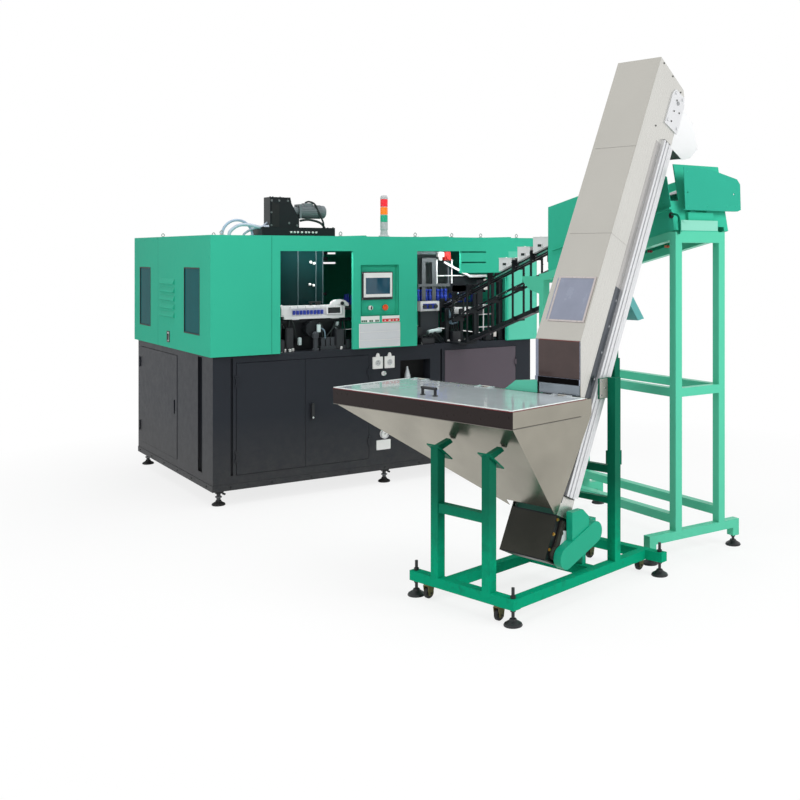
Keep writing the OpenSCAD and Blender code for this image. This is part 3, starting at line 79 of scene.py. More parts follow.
def noise_node(tree, vector, scale, detail, rough=0.55):
    n = tree.nodes.new("ShaderNodeTexNoise")
    n.inputs["Detail"].default_value = detail
    n.inputs["Roughness"].default_value = rough
    feed(tree, scale, n.inputs["Scale"])
    tree.links.new(vector, n.inputs["Vector"])
    return n.outputs["Fac"]


def mix_colour(tree, share, a, b, blend="MIX"):
    n = tree.nodes.new("ShaderNodeMix")
    n.data_type = "RGBA"
    n.blend_type = blend
    feed(tree, share, n.inputs[0])
    tree.links.new(a, n.inputs[6])
    tree.links.new(b, n.inputs[7])
    return n.outputs[2]


def swing(tree, noise, amount):
    # noise that swings about zero by the amount
    return math_node(tree, "MULTIPLY", math_node(tree, "SUBTRACT", noise, 0.5), amount)


def shaded(tree, colour, change):
    # the colour made lighter or darker by twice the change
    level = math_node(tree, "ADD", math_node(tree, "MULTIPLY", change, 2.0), 1.0)
    grey = tree.nodes.new("ShaderNodeCombineColor")
    for i in range(3):
        tree.links.new(level, grey.inputs[i])
    return mix_colour(tree, 1.0, colour, grey.outputs[0], "MULTIPLY")


def build_paint_skin():
    # sprayed coat: slow colour drift, fine peel, dust that settles low down in flecks; on the lift's stand
    # this low tone is its brighter green, under painted shade higher up
    drift_scale, fleck_scale, dirt_and_shade_edge = 1.6, 23.0, 1.6
    fleck_rough, dirt_and_shade_rough = 0.22, 0.3
    g, given, out, place = new_skin("paint_skin", [
        ("Colour", "Color", (0.5, 0.5, 0.5, 1)), ("Dirt And Shade", "Color", (0.4, 0.38, 0.35, 1)),
        ("Drift", "Float", 0.06), ("Dirt And Shade Height", "Float", 0.5), ("Dirt And Shade Amount", "Float", 0.2),
        ("Base Roughness", "Float", 0.4), ("Peel Scale", "Float", 260.0)])
    slow = noise_node(g, place, drift_scale, 3.0)
    fleck = noise_node(g, place, fleck_scale, 6.0, 0.65)
    drifted = shaded(g, given["Colour"], swing(g, slow, given["Drift"]))
    xyz = g.nodes.new("ShaderNodeSeparateXYZ")
    g.links.new(place, xyz.inputs[0])
    low = math_node(g, "DIVIDE", xyz.outputs["Z"], given["Dirt And Shade Height"])
    low = math_node(g, "SUBTRACT", 1.0, low, clamp=True)
    low = math_node(g, "MULTIPLY", low, math_node(g, "MULTIPLY", fleck, given["Dirt And Shade Amount"]))
    low = math_node(g, "MULTIPLY", low, dirt_and_shade_edge, clamp=True)
    rough = math_node(g, "ADD", swing(g, fleck, fleck_rough), given["Base Roughness"])
    rough = math_node(g, "ADD", rough, math_node(g, "MULTIPLY", low, dirt_and_shade_rough), clamp=True)
    g.links.new(mix_colour(g, low, drifted, given["Dirt And Shade"]), out["Colour"])
    g.links.new(rough, out["Roughness"])
    g.links.new(noise_node(g, place, given["Peel Scale"], 2.0), out["Height"])
    return g


paint_skin = build_paint_skin()


def skin_material(name, group, values, shader, bump):
    # a Principled shader fed by a surface effect; shader holds its constant sockets, bump is the
    # relief's strength and depth in metres
    mat = bpy.data.materials.new(name)
    mat.use_nodes = True
    tree = mat.node_tree
    bsdf = tree.nodes["Principled BSDF"]
    skin = tree.nodes.new("ShaderNodeGroup")
    skin.node_tree = group
    for key, value in values.items():
        skin.inputs[key].default_value = value
    relief = tree.nodes.new("ShaderNodeBump")
    relief.inputs["Strength"].default_value, relief.inputs["Distance"].default_value = bump
    for source, sock in ((skin.outputs["Colour"], bsdf.inputs["Base Color"]),
                         (skin.outputs["Roughness"], bsdf.inputs["Roughness"]),
                         (skin.outputs["Height"], relief.inputs["Height"]),
                         (relief.outputs["Normal"], bsdf.inputs["Normal"])):
        tree.links.new(source, sock)
    for key, value in shader.items():
        bsdf.inputs[key].default_value = value
    mat.diffuse_color = values["Colour"]
    return mat


def paint(name, colour, rough=0.38, drift=0.06, dirt_and_shade=0.18, height=0.5, coat=0.0, gloss=0.12,
          low=(120, 116, 108)):
    # low is the tone that the coat takes on near the floor, up to the height in metres
    return skin_material(name, paint_skin,
                         {"Colour": srgb(*colour), "Dirt And Shade": srgb(*low), "Drift": drift,
                          "Dirt And Shade Height": height, "Dirt And Shade Amount": dirt_and_shade, "Base Roughness": rough,
                          "Peel Scale": 260.0},
                         {"Coat Weight": coat, "Coat Roughness": 0.2, "Specular IOR Level": gloss},
                         (0.08, 0.0006))


def dress(nodes, mat):
    # puts a material on CAD nodes without touching their meshes
    for node in (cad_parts[name] for name in nodes.split()):
        if not node.material_slots:
            node.data.materials.append(mat)
        for slot in node.material_slots:
            slot.material = mat


charcoal = paint("charcoal powder coat", (45, 48, 54), rough=0.42, drift=0.10, dirt_and_shade=0.22, height=0.6,
                 gloss=0.1)
dress("base_frame door_left door_right door_side", charcoal)
# painted light: the end bay's door takes a paler purplish grey for the light that falls on it
dress("door_end", paint("end door grey with painted light", (92, 84, 92), rough=0.4, drift=0.08, dirt_and_shade=0.15,
                        height=0.4))


# Guard and roof: bent steel sheet bolted to the table, sprayed sea green with a satin gloss.
# The control pan set into the middle column has the same coat, and so has the sorter's trough;
# the cover at the trough's near end was sprayed apart and came out a little bluer.
sea_green = paint("sea green satin paint", (60, 186, 154), rough=0.42, drift=0.05, dirt_and_shade=0.05, gloss=0.015)
dress("enclosure roof control_panel trough", sea_green)
dress("flap_plate", paint("flap sheet paint", (48, 166, 140), rough=0.4, drift=0.06, dirt_and_shade=0.05))


# Stands and the lift's drive: the lift's stand is welded of square tube under a green coat that is
# painted deep green high up as the shade of casing and hopper, and turns lighter towards the floor. The
# sorter's stand, also welded, is much brighter, and the cast housing of the gearmotor is enamelled in a
# green between the two.
# painted shade: the deep green stands for the shade of casing and hopper on the stand's tubes; near the
# floor the low tone brings back its brighter green
stand_green_painted_shade = paint("stand green paint with painted shade", (6, 100, 75), rough=0.36, drift=0.08, dirt_and_shade=1.7,
                   height=0.56, gloss=0.06, low=(4, 158, 118))
dress("lift_stand", stand_green_painted_shade)
dress("gearmotor", paint("drive green paint", (16, 164, 130), rough=0.36, drift=0.07, dirt_and_shade=0.05,
                         coat=0.1))
dress("sorter_stand", paint("bright green stand paint", (88, 200, 166), rough=0.36, drift=0.07, dirt_and_shade=0.05,
                            height=0.25, coat=0.1))


# Bare metal parts: hopper, lift casing and cover strip are folded stainless sheet, whose brushed
# grain follows the sheet's length and takes faint cloudy marks from handling; on the hopper a darker
# tone and strong clouds are painted reflection. Carriage, sprockets, drums and rollers are ground
# steel, the moulds milled alloy, the side profiles anodised extrusions.
def build_brushed_skin():
    # sheet metal: a grain drawn out along one direction, and clouds: wipe marks from hands, and on the
    # hopper and the casing's dark side strips painted reflection
    cloud_scale, grain_rough = 2.3, 2.5
    g, given, out, place = new_skin("brushed_skin", [
        ("Colour", "Color", (0.6, 0.6, 0.6, 1)), ("Turn", "Vector", (0, 0, 0)),
        ("Stretch", "Vector", (400, 400, 4)), ("Cloud", "Float", 0.08), ("Grain", "Float", 0.1),
        ("Base Roughness", "Float", 0.3)])
    turn = g.nodes.new("ShaderNodeMapping")
    turn.vector_type = "TEXTURE"
    g.links.new(place, turn.inputs["Vector"])
    g.links.new(given["Turn"], turn.inputs["Rotation"])
    drawn = g.nodes.new("ShaderNodeVectorMath")
    drawn.operation = "MULTIPLY"
    g.links.new(turn.outputs["Vector"], drawn.inputs[0])
    g.links.new(given["Stretch"], drawn.inputs[1])
    grain = noise_node(g, drawn.outputs[0], 1.0, 5.0, 0.7)
    lines = swing(g, grain, given["Grain"])
    clouds = swing(g, noise_node(g, place, cloud_scale, 3.0), given["Cloud"])
    rough = math_node(g, "MULTIPLY", lines, grain_rough)
    g.links.new(shaded(g, given["Colour"], math_node(g, "ADD", lines, clouds)), out["Colour"])
    g.links.new(math_node(g, "ADD", given["Base Roughness"], rough, clamp=True), out["Roughness"])
    g.links.new(grain, out["Height"])
    return g


brushed_skin = build_brushed_skin()


def brushed(name, colour, rough=0.32, metallic=1.0, turn=(0, 0, 0), stretch=(300, 300, 5), cloud=0.10,
            grain=0.10, relief=0.05):
    # stretch is the noise's scale along each axis of the turned frame: low along the grain
    return skin_material(name, brushed_skin,
                         {"Colour": srgb(*colour), "Turn": turn, "Stretch": stretch, "Cloud": cloud,
                          "Grain": grain, "Base Roughness": rough},
                         {"Metallic": metallic, "Specular IOR Level": 0.5}, (relief, 0.0004))


LEAN, LIFT_YAW = math.radians(25.6), math.radians(13.6)
lean_turn = (0.0, LEAN, LIFT_YAW)
stainless = brushed("brushed stainless sheet", (191, 189, 182), rough=0.24, metallic=0.85, turn=lean_turn,
                    stretch=(420, 420, 2.5), cloud=0.07, grain=0.035, relief=0.02)
dress("hopper_cover casing", stainless)
# painted reflection: the hopper's mirror sheet is darker with strong clouds, for what it mirrors
dress("hopper_shell", brushed("hopper sheet with painted reflection", (158, 154, 142), rough=0.2, metallic=0.92,
                              turn=lean_turn, stretch=(420, 420, 2.5), cloud=0.4, grain=0.04, relief=0.02))
ground_steel = brushed("ground steel", (170, 172, 174), rough=0.28, stretch=(60, 60, 600))
dress("stretch_carriage sprocket_drive sprocket_idle drum_top drum_bottom roller_left roller_right",
      ground_steel)
mould_alloy = brushed("milled mould alloy", (188, 192, 196), rough=0.3, stretch=(40, 500, 40))
dress("mould_front mould_rear", mould_alloy)
profile_alloy = brushed("anodised aluminium profile", (225, 226, 228), rough=0.38, metallic=0.6,
                        turn=lean_turn, stretch=(200, 200, 4), cloud=0.05)
dress("side_rails", profile_alloy)


# Painted and blackened machine parts: clamp and stretch unit are blackened plates and bars bolted
# together, the infeed is welded flat bar, and the boot and the hopper's rim band are folded sheet.
# Arm, rail guards and spout are enamelled white, the drive on the roof and the oven grey.
black_steel = paint("blackened steel", (34, 37, 40), rough=0.38, drift=0.15, dirt_and_shade=0.1, coat=0.1)
dress("clamp_frame stretch_frame infeed_rails", black_steel)
dress("caster_forks", paint("olive plated forks", (104, 98, 60), rough=0.35, drift=0.2, dirt_and_shade=0.1))
dress("boot", paint("boot sheet paint", (55, 55, 50), rough=0.35, drift=0.10, dirt_and_shade=0.25, height=0.4))
dress("hopper_rim", paint("dark brown rim paint", (36, 27, 26), rough=0.3, drift=0.14, dirt_and_shade=0.0,
                          coat=0.12))
dress("oven", paint("oven grey paint", (88, 92, 95), rough=0.4, drift=0.10, dirt_and_shade=0.05))
dress("stretch_motor", paint("motor enamel", (118, 126, 130), rough=0.34, drift=0.08, dirt_and_shade=0.0, coat=0.2))
white_paint = paint("white machine paint", (232, 233, 234), rough=0.32, drift=0.03, dirt_and_shade=0.0, coat=0.1)
dress("transfer_arm rail_guards spout", white_paint)
dress("valve_block", paint("graphite valve paint", (66, 70, 74), rough=0.4, drift=0.10, dirt_and_shade=0.0))


# Plastic parts: moulded screen housing, handles, feet, buttons, lenses and plates, screwed or
# snapped in place. A fine spark-eroded grain breaks up their gloss; wheels and belt are rubber-like
# and duller, the screen's glass is smooth.
def build_plastic_skin():
    # moulded or rolled plastic: a fine even grain and faint smears
    smear_scale, smear_rough = 9.0, 1.5
    g, given, out, place = new_skin("plastic_skin", [
        ("Colour", "Color", (0.5, 0.5, 0.5, 1)), ("Mottle", "Float", 0.05),
        ("Grain Scale", "Float", 900.0), ("Base Roughness", "Float", 0.4)])
    smear = swing(g, noise_node(g, place, smear_scale, 4.0), given["Mottle"])
    rough = math_node(g, "MULTIPLY", smear, smear_rough)
    g.links.new(shaded(g, given["Colour"], smear), out["Colour"])
    g.links.new(math_node(g, "ADD", given["Base Roughness"], rough, clamp=True), out["Roughness"])
    g.links.new(noise_node(g, place, given["Grain Scale"], 2.0), out["Height"])
    return g


plastic_skin = build_plastic_skin()


def plastic(name, colour, rough=0.4, mottle=0.05, grain=900.0, shader=None, relief=0.08):
    return skin_material(name, plastic_skin,
                         {"Colour": srgb(*colour), "Mottle": mottle, "Grain Scale": grain,
                          "Base Roughness": rough},
                         shader or {}, (relief, 0.0003))


black_plastic = plastic("moulded black plastic", (28, 30, 33), rough=0.42)
dress("hmi door_handle lid_handle levelling_feet", black_plastic)
white_plastic = plastic("moulded white plastic", (236, 236, 234), rough=0.35)
dress("selector_knob service_plates", white_plastic)
dress("stop_button", plastic("orange-red button plastic", (226, 82, 34), rough=0.28))
dress("signal_tower", plastic("grey tower plastic", (190, 192, 194), rough=0.35))
for part, tone, glow in (("lens_red", (236, 34, 50), 0.25), ("lens_amber", (255, 128, 20), 0.25),
                         ("lens_green", (20, 170, 130), 0.1)):
    lens = plastic(part + " ribbed lens", tone, rough=0.2, grain=300.0,
                   shader={"Emission Color": srgb(*tone), "Emission Strength": glow,
                           "Subsurface Weight": 0.1})
    dress(part, lens)
dress("oven_lamps", plastic("heater tube", (238, 232, 214), rough=0.2))
dress("mandrel_chain", plastic("blue mandrel plastic", (48, 70, 170), rough=0.3))
dress("roof_hose", plastic("pale air hose", (186, 206, 228), rough=0.3,
                           shader={"Transmission Weight": 0.2}))
rubber = plastic("solid black rubber", (30, 30, 30), rough=0.7, grain=400.0)
dress("wheels_front wheels_rear", rubber)
dress("belt", plastic("cleated belt", (46, 100, 86), rough=0.6, grain=500.0))
dress("overflow_chute", plastic("teal chute sheet", (78, 160, 158), rough=0.3, grain=60.0))
dress("hmi_screen", plastic("screen glass", (34, 78, 98), rough=0.08, mottle=0.25, grain=40.0,
                            shader={"Specular IOR Level": 0.5, "Coat Weight": 0.3, "Coat Roughness": 0.04},
                            relief=0.0))


# Panes: dark tinted safety glass held by rubber seals in the guard's sides, pale tinted sheet in the
# lift's casing, and the clear sheet of the hopper's lid, all cut from flat stock.
def pane(name, colour, alpha, rough=0.05, mottle=0.1, gloss=0.3, coat=0.2):
    return plastic(name, colour, rough=rough, mottle=mottle, grain=30.0,
                   shader={"Alpha": alpha, "Specular IOR Level": gloss, "Coat Weight": coat,
                           "Coat Roughness": 0.02}, relief=0.02)


dress("side_windows", pane("teal tinted pane", (2, 92, 96), 0.99, gloss=0.01, coat=0.0))
dress("lift_windows", pane("pale tinted pane", (146, 152, 170), 0.95, rough=0.25, mottle=0.2))
dress("lid", pane("clear lid sheet", (208, 216, 220), 0.8, rough=0.12, coat=0.5))


# Operator screen: a black housing with a white moulded frame round the glass, held in the pan by
# four cover screws. Two round buttons with chrome collars sit below it, and a darker green strip round
# the pan's edge is painted shade. Sizes from here on are millimetres from the cabinet's front left corner.
MM = Matrix.Diagonal((0.001, 0.001, 0.001, 1.0))
CABINET = MM @ Matrix.Translation((-88, -90, 0))
NEAR, FAR, LEFT, RIGHT, UP = (0, -1, 0), (0, 1, 0), (-1, 0, 0), (1, 0, 0), (0, 0, 1)


class Work:
    # one piece in the making: folded, turned or bolted solids in millimetres, set down at a place
    def __init__(self, name, place=CABINET):
        self.name = name
        self.place = place
        self.bm = bmesh.new()

    def soften(self, verts, bevel, angle):
        # rounds the edges at the verts that bend by more than the angle, taken in the mesh's order
        if bevel > 0:
            self.bm.edges.index_update()
            edges = {e for v in verts for e in v.link_edges
                     if len(e.link_faces) == 2 and e.calc_face_angle(0) > angle}
            bmesh.ops.bevel(self.bm, geom=sorted(edges, key=lambda e: e.index), offset=bevel, segments=2,
                            affect="EDGES", clamp_overlap=True)

    def box(self, a, b, bevel=1.0):
        lo = [min(p, q) for p, q in zip(a, b)]
        hi = [max(p, q) for p, q in zip(a, b)]
        m = Matrix.Translation([(p + q) / 2 for p, q in zip(lo, hi)]) @ Matrix.Diagonal(
            [q - p for p, q in zip(lo, hi)] + [1.0])
        verts = bmesh.ops.create_cube(self.bm, size=1.0, matrix=m)["verts"]
        self.soften(verts, min(bevel, 0.4 * min(q - p for p, q in zip(lo, hi))), 0.5)
        return self

    def boxes(self, corners, bevel=1.0):
        for a, b in corners:
            self.box(a, b, bevel)
        return self

    def prism(self, pts, axis, a, b, bevel=0.8):
        # outline in the plane across the axis, drawn from a to b
        def put(u, v, w):
            return {"x": (w, u, v), "y": (u, w, v), "z": (u, v, w)}[axis]
        low = [self.bm.verts.new(put(u, v, a)) for u, v in pts]
        high = [self.bm.verts.new(put(u, v, b)) for u, v in pts]
        faces = [self.bm.faces.new(low), self.bm.faces.new(high[::-1])]
        n = len(pts)
        for i in range(n):
            faces.append(self.bm.faces.new((low[i], high[i], high[(i + 1) % n], low[(i + 1) % n])))
        bmesh.ops.recalc_face_normals(self.bm, faces=faces)
        self.soften(low + high, bevel, 0.5)
        return self

    def rod(self, p, q, r, r2=None, sides=28, bevel=0.0):
        p, q = Vector(p), Vector(q)
        turn = (q - p).to_track_quat("Z", "Y").to_matrix().to_4x4()
        out = bmesh.ops.create_cone(self.bm, cap_ends=True, segments=sides, radius1=r,
                                    radius2=r if r2 is None else r2, depth=(q - p).length,
                                    matrix=Matrix.Translation((p + q) / 2) @ turn)
        self.soften(out["verts"], bevel, 0.9)
        return self

    def bolt(self, p, way, r=6.0, h=4.5, washer=True):
        # hexagon head on a washer, standing on point p and looking along way
        p, way = Vector(p), Vector(way).normalized()
        if washer:
            self.rod(p, p + way * 1.2, r * 1.5, sides=24)
        self.rod(p + way * 1.0, p + way * (h + 1.0), r, sides=6, bevel=r * 0.12)
        return self

    def screw(self, p, way, r=5.0):
        # flat-domed cap screw
        p, way = Vector(p), Vector(way).normalized()
        self.rod(p, p + way * 1.6, r, r * 0.8, sides=20)
        self.rod(p + way * 1.6, p + way * 2.4, r * 0.8, r * 0.45, sides=20)
        return self

    def lathe(self, profile, p, way, sides=40):
        # profile of (radius, height) pairs turned about the line from p along way
        turn = Vector(way).to_track_quat("Z", "Y").to_matrix().to_4x4()
        m = Matrix.Translation(p) @ turn
        rings = []
        for r, h in profile:
            if r < 1e-6:
                rings.append([self.bm.verts.new(m @ Vector((0, 0, h)))])
            else:
                rings.append([self.bm.verts.new(m @ Vector((r * math.cos(t), r * math.sin(t), h)))
                              for t in (2 * math.pi * i / sides for i in range(sides))])
        made = []
        for ra, rb in zip(rings, rings[1:]):
            for i in range(sides):
                j = (i + 1) % sides
                loop = [ra[i % len(ra)], ra[j % len(ra)], rb[j % len(rb)], rb[i % len(rb)]]
                loop = [v for k, v in enumerate(loop) if v not in loop[:k]]
                if len(loop) > 2:
                    made.append(self.bm.faces.new(loop))
        bmesh.ops.recalc_face_normals(self.bm, faces=made)
        return self

    def tube(self, path, r, sides=14, round_off=6):
        # round bar, hose or cable through the points, with softened corners
        pts = [Vector(p) for p in path]
        smooth = []
        for i in range(len(pts) - 1):
            a = pts[max(i - 1, 0)]
            b, c = pts[i], pts[i + 1]
            d = pts[min(i + 2, len(pts) - 1)]
            for k in range(round_off):
                t = k / round_off
                smooth.append(0.5 * ((2 * b) + (c - a) * t + (2 * a - 5 * b + 4 * c - d) * t * t
                                     + (3 * b - a - 3 * c + d) * t ** 3))
        smooth.append(pts[-1])
        ref = Vector((0, 0, 1))
        rings = []
        for i, p in enumerate(smooth):
            way = (smooth[min(i + 1, len(smooth) - 1)] - smooth[max(i - 1, 0)]).normalized()
            side = way.cross(ref)
            if side.length < 0.05:
                side = way.cross(Vector((0, 1, 0)))
            side.normalize()
            ref = side.cross(way).normalized()
            rings.append([self.bm.verts.new(p + r * (math.cos(t) * side + math.sin(t) * ref))
                          for t in (2 * math.pi * k / sides for k in range(sides))])
        made = []
        for ra, rb in zip(rings, rings[1:]):
            for k in range(sides):
                made.append(self.bm.faces.new((ra[k], ra[(k + 1) % sides], rb[(k + 1) % sides], rb[k])))
        made.append(self.bm.faces.new(rings[0][::-1]))
        made.append(self.bm.faces.new(rings[-1]))
        bmesh.ops.recalc_face_normals(self.bm, faces=made)
        return self

    def frame(self, a, b, w, axis, depth, bevel):
        # flat ring of four strips, w wide, round the rectangle a..b in the plane across the axis
        (u0, v0), (u1, v1), (d0, d1) = a, b, depth
        for ua, va, ub, vb in ((u0, v0, u1, v0 + w), (u0, v1 - w, u1, v1), (u0, v0 + w, u0 + w, v1 - w),
                               (u1 - w, v0 + w, u1, v1 - w)):
            if axis == "y":
                self.box((ua, d0, va), (ub, d1, vb), bevel)
            else:
                self.box((d0, ua, va), (d1, ub, vb), bevel)
        return self

    def make(self, mat, body="machine", slot=None):
        mesh = bpy.data.meshes.new(self.name)
        self.bm.to_mesh(mesh)
        self.bm.free()
        mesh.transform(self.place)
        mesh.polygons.foreach_set("use_smooth", [True] * len(mesh.polygons))
        mesh.set_sharp_from_angle(angle=math.radians(32))
        mesh.materials.append(mat)
        obj = bpy.data.objects.new(self.name, mesh)
        bpy.context.scene.collection.objects.link(obj)
        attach(obj, body)
        return obj


screen_frame = Work("screen_white_frame")
screen_frame.boxes((((1166, 9.4, 1418), (1183, 12.2, 1602)), ((1389, 9.4, 1418), (1406, 12.2, 1602)),
                    ((1183, 9.4, 1418), (1389, 12.2, 1441)), ((1183, 9.4, 1564), (1389, 12.2, 1602))), 0.9)
screen_frame.make(white_plastic, slot="white_plastic")
chrome = brushed("bright chrome", (214, 216, 218), rough=0.12, cloud=0.02, grain=0.02)
collars = Work("button_collars")
for x in (1225, 1348):
    collars.lathe([(12.5, 0), (17.5, 0), (18.2, 1.2), (17.0, 3.1), (13.2, 3.5), (12.5, 2.4), (12.5, 0)],
                  (x, 30, 1338), NEAR)
for x in (1158, 1404):
    for z in (1407, 1601):
        collars.screw((x, 12, z), NEAR, 3.2)
collars.make(chrome, slot="machined_steel")
knob_side = Work("selector_grip")
knob_side.box((1219.5, -4.5, 1325), (1230.5, 2.0, 1351), 2.2)
knob_side.make(black_plastic, "selector_knob", "black_plastic")
# painted shade: a darker green frame just in front of the pan's edge
pan_edge_shade = Work("panel_edge_painted_shade")
pan_edge_shade.frame((1136, 1279), (1456, 1662), 6.5, "y", (-1.6, 0.2), 0.7)
pan_edge_shade.make(paint("shadowed green edge", (20, 128, 100), rough=0.5, dirt_and_shade=0.0), slot="guard_green")


# Plates under the screen: strips with plain colour bands and a stack of bare pale plates.
# They are thin sheet held by small rivets, so their edges stand a little proud of the guard.
strip_green = plastic("green strip", (24, 98, 70), rough=0.4, mottle=0.2)
strip_red = plastic("red strip", (206, 44, 46), rough=0.4, mottle=0.15)
grey_plate = paint("pale grey plate", (214, 216, 220), rough=0.36, drift=0.06, dirt_and_shade=0.0)
bands = Work("strip_left_bands")
for x in (1141 + i * 16.4 for i in range(9) if i not in (3, 6)):
    bands.box((x, -2.9, 1233), (x + 13, -1.9, 1248), 0.3)
bands.make(strip_green)
Work("strip_right_band").box((1316, -2.9, 1231), (1461, -1.9, 1253), 0.3).make(strip_red)
marks = Work("strip_marks")
for x, w in ((1192, 9), (1241, 7), (1334, 10), (1368, 20), (1404, 8), (1430, 14)):
    marks.box((x, -3.4, 1237), (x + w, -2.6, 1245), 0.2)
marks.make(white_plastic)
stack = Work("front_plates")
for front, z0, z1 in ((-4.0, 1160, 1219), (-3.4, 1098, 1157), (-3.8, 1045, 1095)):
    stack.box((1126, front, z0), (1464, -1.8, z1), 0.6)
for x in (1133, 1457):
    for z in (1212, 1105, 1052):
        stack.screw((x, -3.6, z), NEAR, 2.6)
stack.make(grey_plate, slot="white_plastic")


# Guard hardware: lifting eyes on the roof, cap screws along the folds, a latch on the left side,
# rubber seals round the tinted panes and the two open joints between sheets. The eyes and the latch
# are screwed through the sheet, the seals are pressed over its edge.
guard_l, guard_d, cap_r = 2765, 1890, 4.0
dark_rubber = plastic("black edge rubber", (24, 34, 34), rough=0.6, grain=500.0)
seals = Work("window_seals")
for y0, z0, y1, z1 in ((227, 1173, 574, 1646), (1426, 1169, 1727, 1636)):
    seals.frame((y0 - 2, z0 - 2), (y1 + 2, z1 + 2), 9, "x", (-1.6, 3.9), 0.8)
seals.frame((1198, 1198), (1602, 1602), 9, "x", (2761.2, 2766.6), 0.8)
seals.make(dark_rubber)
latch = Work("side_latch")
latch.frame((918, 1076), (982, 1160), 9, "x", (-5, -0.2), 1.2)
latch.box((-9, 944, 1092), (-1, 956, 1140), 1.5)
latch.make(black_plastic)
roof_bits = Work("roof_eyes")
for x, y in ((120, 120), (120, 1500), (330, 900), (1000, 60), (1640, 70), (1980, 80), (2250, 70),
             (2640, 120), (2640, 1770)):
    roof_bits.lathe([(0, 0), (15, 0), (15, 4), (8, 6), (7, 12), (0, 12)], (x, y, 1875), UP, 24)
    roof_bits.tube([(x - 9, y, 1886), (x - 11, y, 1897), (x, y, 1908), (x + 11, y, 1897), (x + 9, y, 1886)],
                   3.2, 10)
roof_bits.make(plastic("zinc plated eye", (176, 180, 178), rough=0.35, shader={"Metallic": 0.8}))
caps = Work("guard_screws")
for z in (1075, 1240, 1400, 1560, 1720, 1840):
    for x, y, way in ((34, 0, NEAR), (0, 34, LEFT), (2732, 0, NEAR), (guard_l, 60, RIGHT),
                      (guard_l, 1830, RIGHT)):
        caps.screw((x, y, z), way, cap_r)
for x in range(200, 2700, 250):
    for y, z, way in ((0, 1853, NEAR), (guard_d, 1853, FAR), (guard_d, 1062, FAR)):
        caps.screw((x, y, z), way, cap_r)
for y in range(150, 1850, 240):
    for x, way in ((0, LEFT), (guard_l, RIGHT)):
        caps.screw((x, y, 1853), way, cap_r)
caps.make(sea_green, slot="guard_green")
seams = Work("guard_seams")
seams.boxes((((0.4, 1220.3, 1037), (1.6, 1223.7, 1873)), ((439.4, 0.4, 1037), (441.6, 1.4, 1873))), 0.0)
seams.make(paint("seam shadow", (14, 86, 70), rough=0.6, dirt_and_shade=0.0))


# Base cabinet hardware: quarter-turn lock of the swing handle, screws in the plinth, two moulded
# socket plates, the round pressure gauge and button ring with chrome bezels, a riveted bare plate,
# and the hose nozzle that stands in the recess, in front of a near-black sheet of painted shadow.
lock = Work("handle_lock")
lock.lathe([(0, 0), (6.8, 0), (7.4, 1.0), (6.6, 2.6), (0, 3.0)], (753, -6.2, 560), NEAR, 24)
lock.make(chrome, "door_handle", "machined_steel")
plinth_bits = Work("plinth_screws")
for x in range(150, 2700, 300):
    plinth_bits.bolt((x, 22, 126), NEAR, 5.0, 3.5)
for y in range(150, 1850, 330):
    plinth_bits.bolt((22, y, 126), LEFT, 5.0, 3.5)
    plinth_bits.bolt((2718, y, 126), RIGHT, 5.0, 3.5)
plinth_bits.make(black_steel, slot="dark_steel")
for label, x in (("left", 1288), ("right", 1388)):
    plate = Work("socket_cover_" + label)
    plate.box((x - 40, 12.8, 879), (x + 40, 17, 963), 2.5)
    plate.prism([(x - 17, 962), (x + 17, 962), (x + 12, 982), (x + 6, 994), (x - 6, 994), (x - 12, 982)],
                "y", 13, 25, 1.5)
    plate.lathe([(26, 0), (30, 0), (29, 4.5), (25, 5.2), (23.5, 0), (26, 0)], (x, 13.4, 921), NEAR, 36)
    plate.make(white_plastic, slot="white_plastic")
    face = Work("socket_face_" + label)
    face.rod((x, 14.6, 921), (x, 12.4, 921), 22.5, sides=36)
    face.make(plastic("socket face grey " + label, (196, 198, 200), rough=0.4))
    holes = Work("socket_slots_" + label)
    for dx, dz, w, h in ((-8, -4, 4, 10), (8, -4, 4, 10), (0, 9, 10, 4)):
        holes.box((x + dx - w / 2, 12.1, 921 + dz - h / 2), (x + dx + w / 2, 12.9, 921 + dz + h / 2), 0.3)
    holes.make(black_plastic)
gauge = Work("gauge_bezel")
gauge.lathe([(26, 23.5), (33.6, 25.5), (34.6, 28), (33.4, 31), (29.5, 31.6), (27.5, 27), (26, 24.5),
             (26, 23.5)], (1339, 25, 381), NEAR, 48)
gauge.lathe([(11.2, 15), (17.6, 15), (18.2, 17.0), (16.4, 19.0), (11.2, 18.4), (11.2, 15)],
            (1338, 25, 838), NEAR, 36)
gauge.make(chrome, slot="machined_steel")
dial = Work("gauge_needle")
dial.prism([(1337.6, 378), (1340.6, 379), (1356, 396), (1355, 397)], "y", -0.4, 0.6, 0.0)
dial.rod((1339, 1.2, 381), (1339, -1.4, 381), 3.4, sides=20)
for k in range(11):
    t = math.radians(-45 + k * 27)
    x, z = 1339 + 22 * math.cos(t), 381 + 22 * math.sin(t)
    dial.rod((x, 0.9, z), (x, 0.2, z), 1.1, sides=10)
dial.make(black_plastic)
bare = Work("bare_plate_rivets")
for x in (1285, 1394):
    for z in (265, 329):
        bare.screw((x, 23, z), NEAR, 2.4)
bare.make(chrome)
nozzle = Work("hose_nozzle")
nozzle.lathe([(0, 0), (20, 0), (24, 10), (23, 30), (16, 58), (9, 80), (7, 98), (0, 100)],
             (1572, 70, 773.8), (0, 0.05, 1), 30)
nozzle.box((1540, 50, 773.3), (1604, 96, 778), 1.5)
nozzle.make(plastic("pale nozzle", (214, 220, 224), rough=0.25))
# painted shadow: a near-black sheet at the back of the recess
Work("recess_painted_shadow").box((1487, 130.5, 772), (1748, 133.5, 923), 0.4).make(
    plastic("recess painted shadow sheet", (12, 12, 14), rough=0.8))


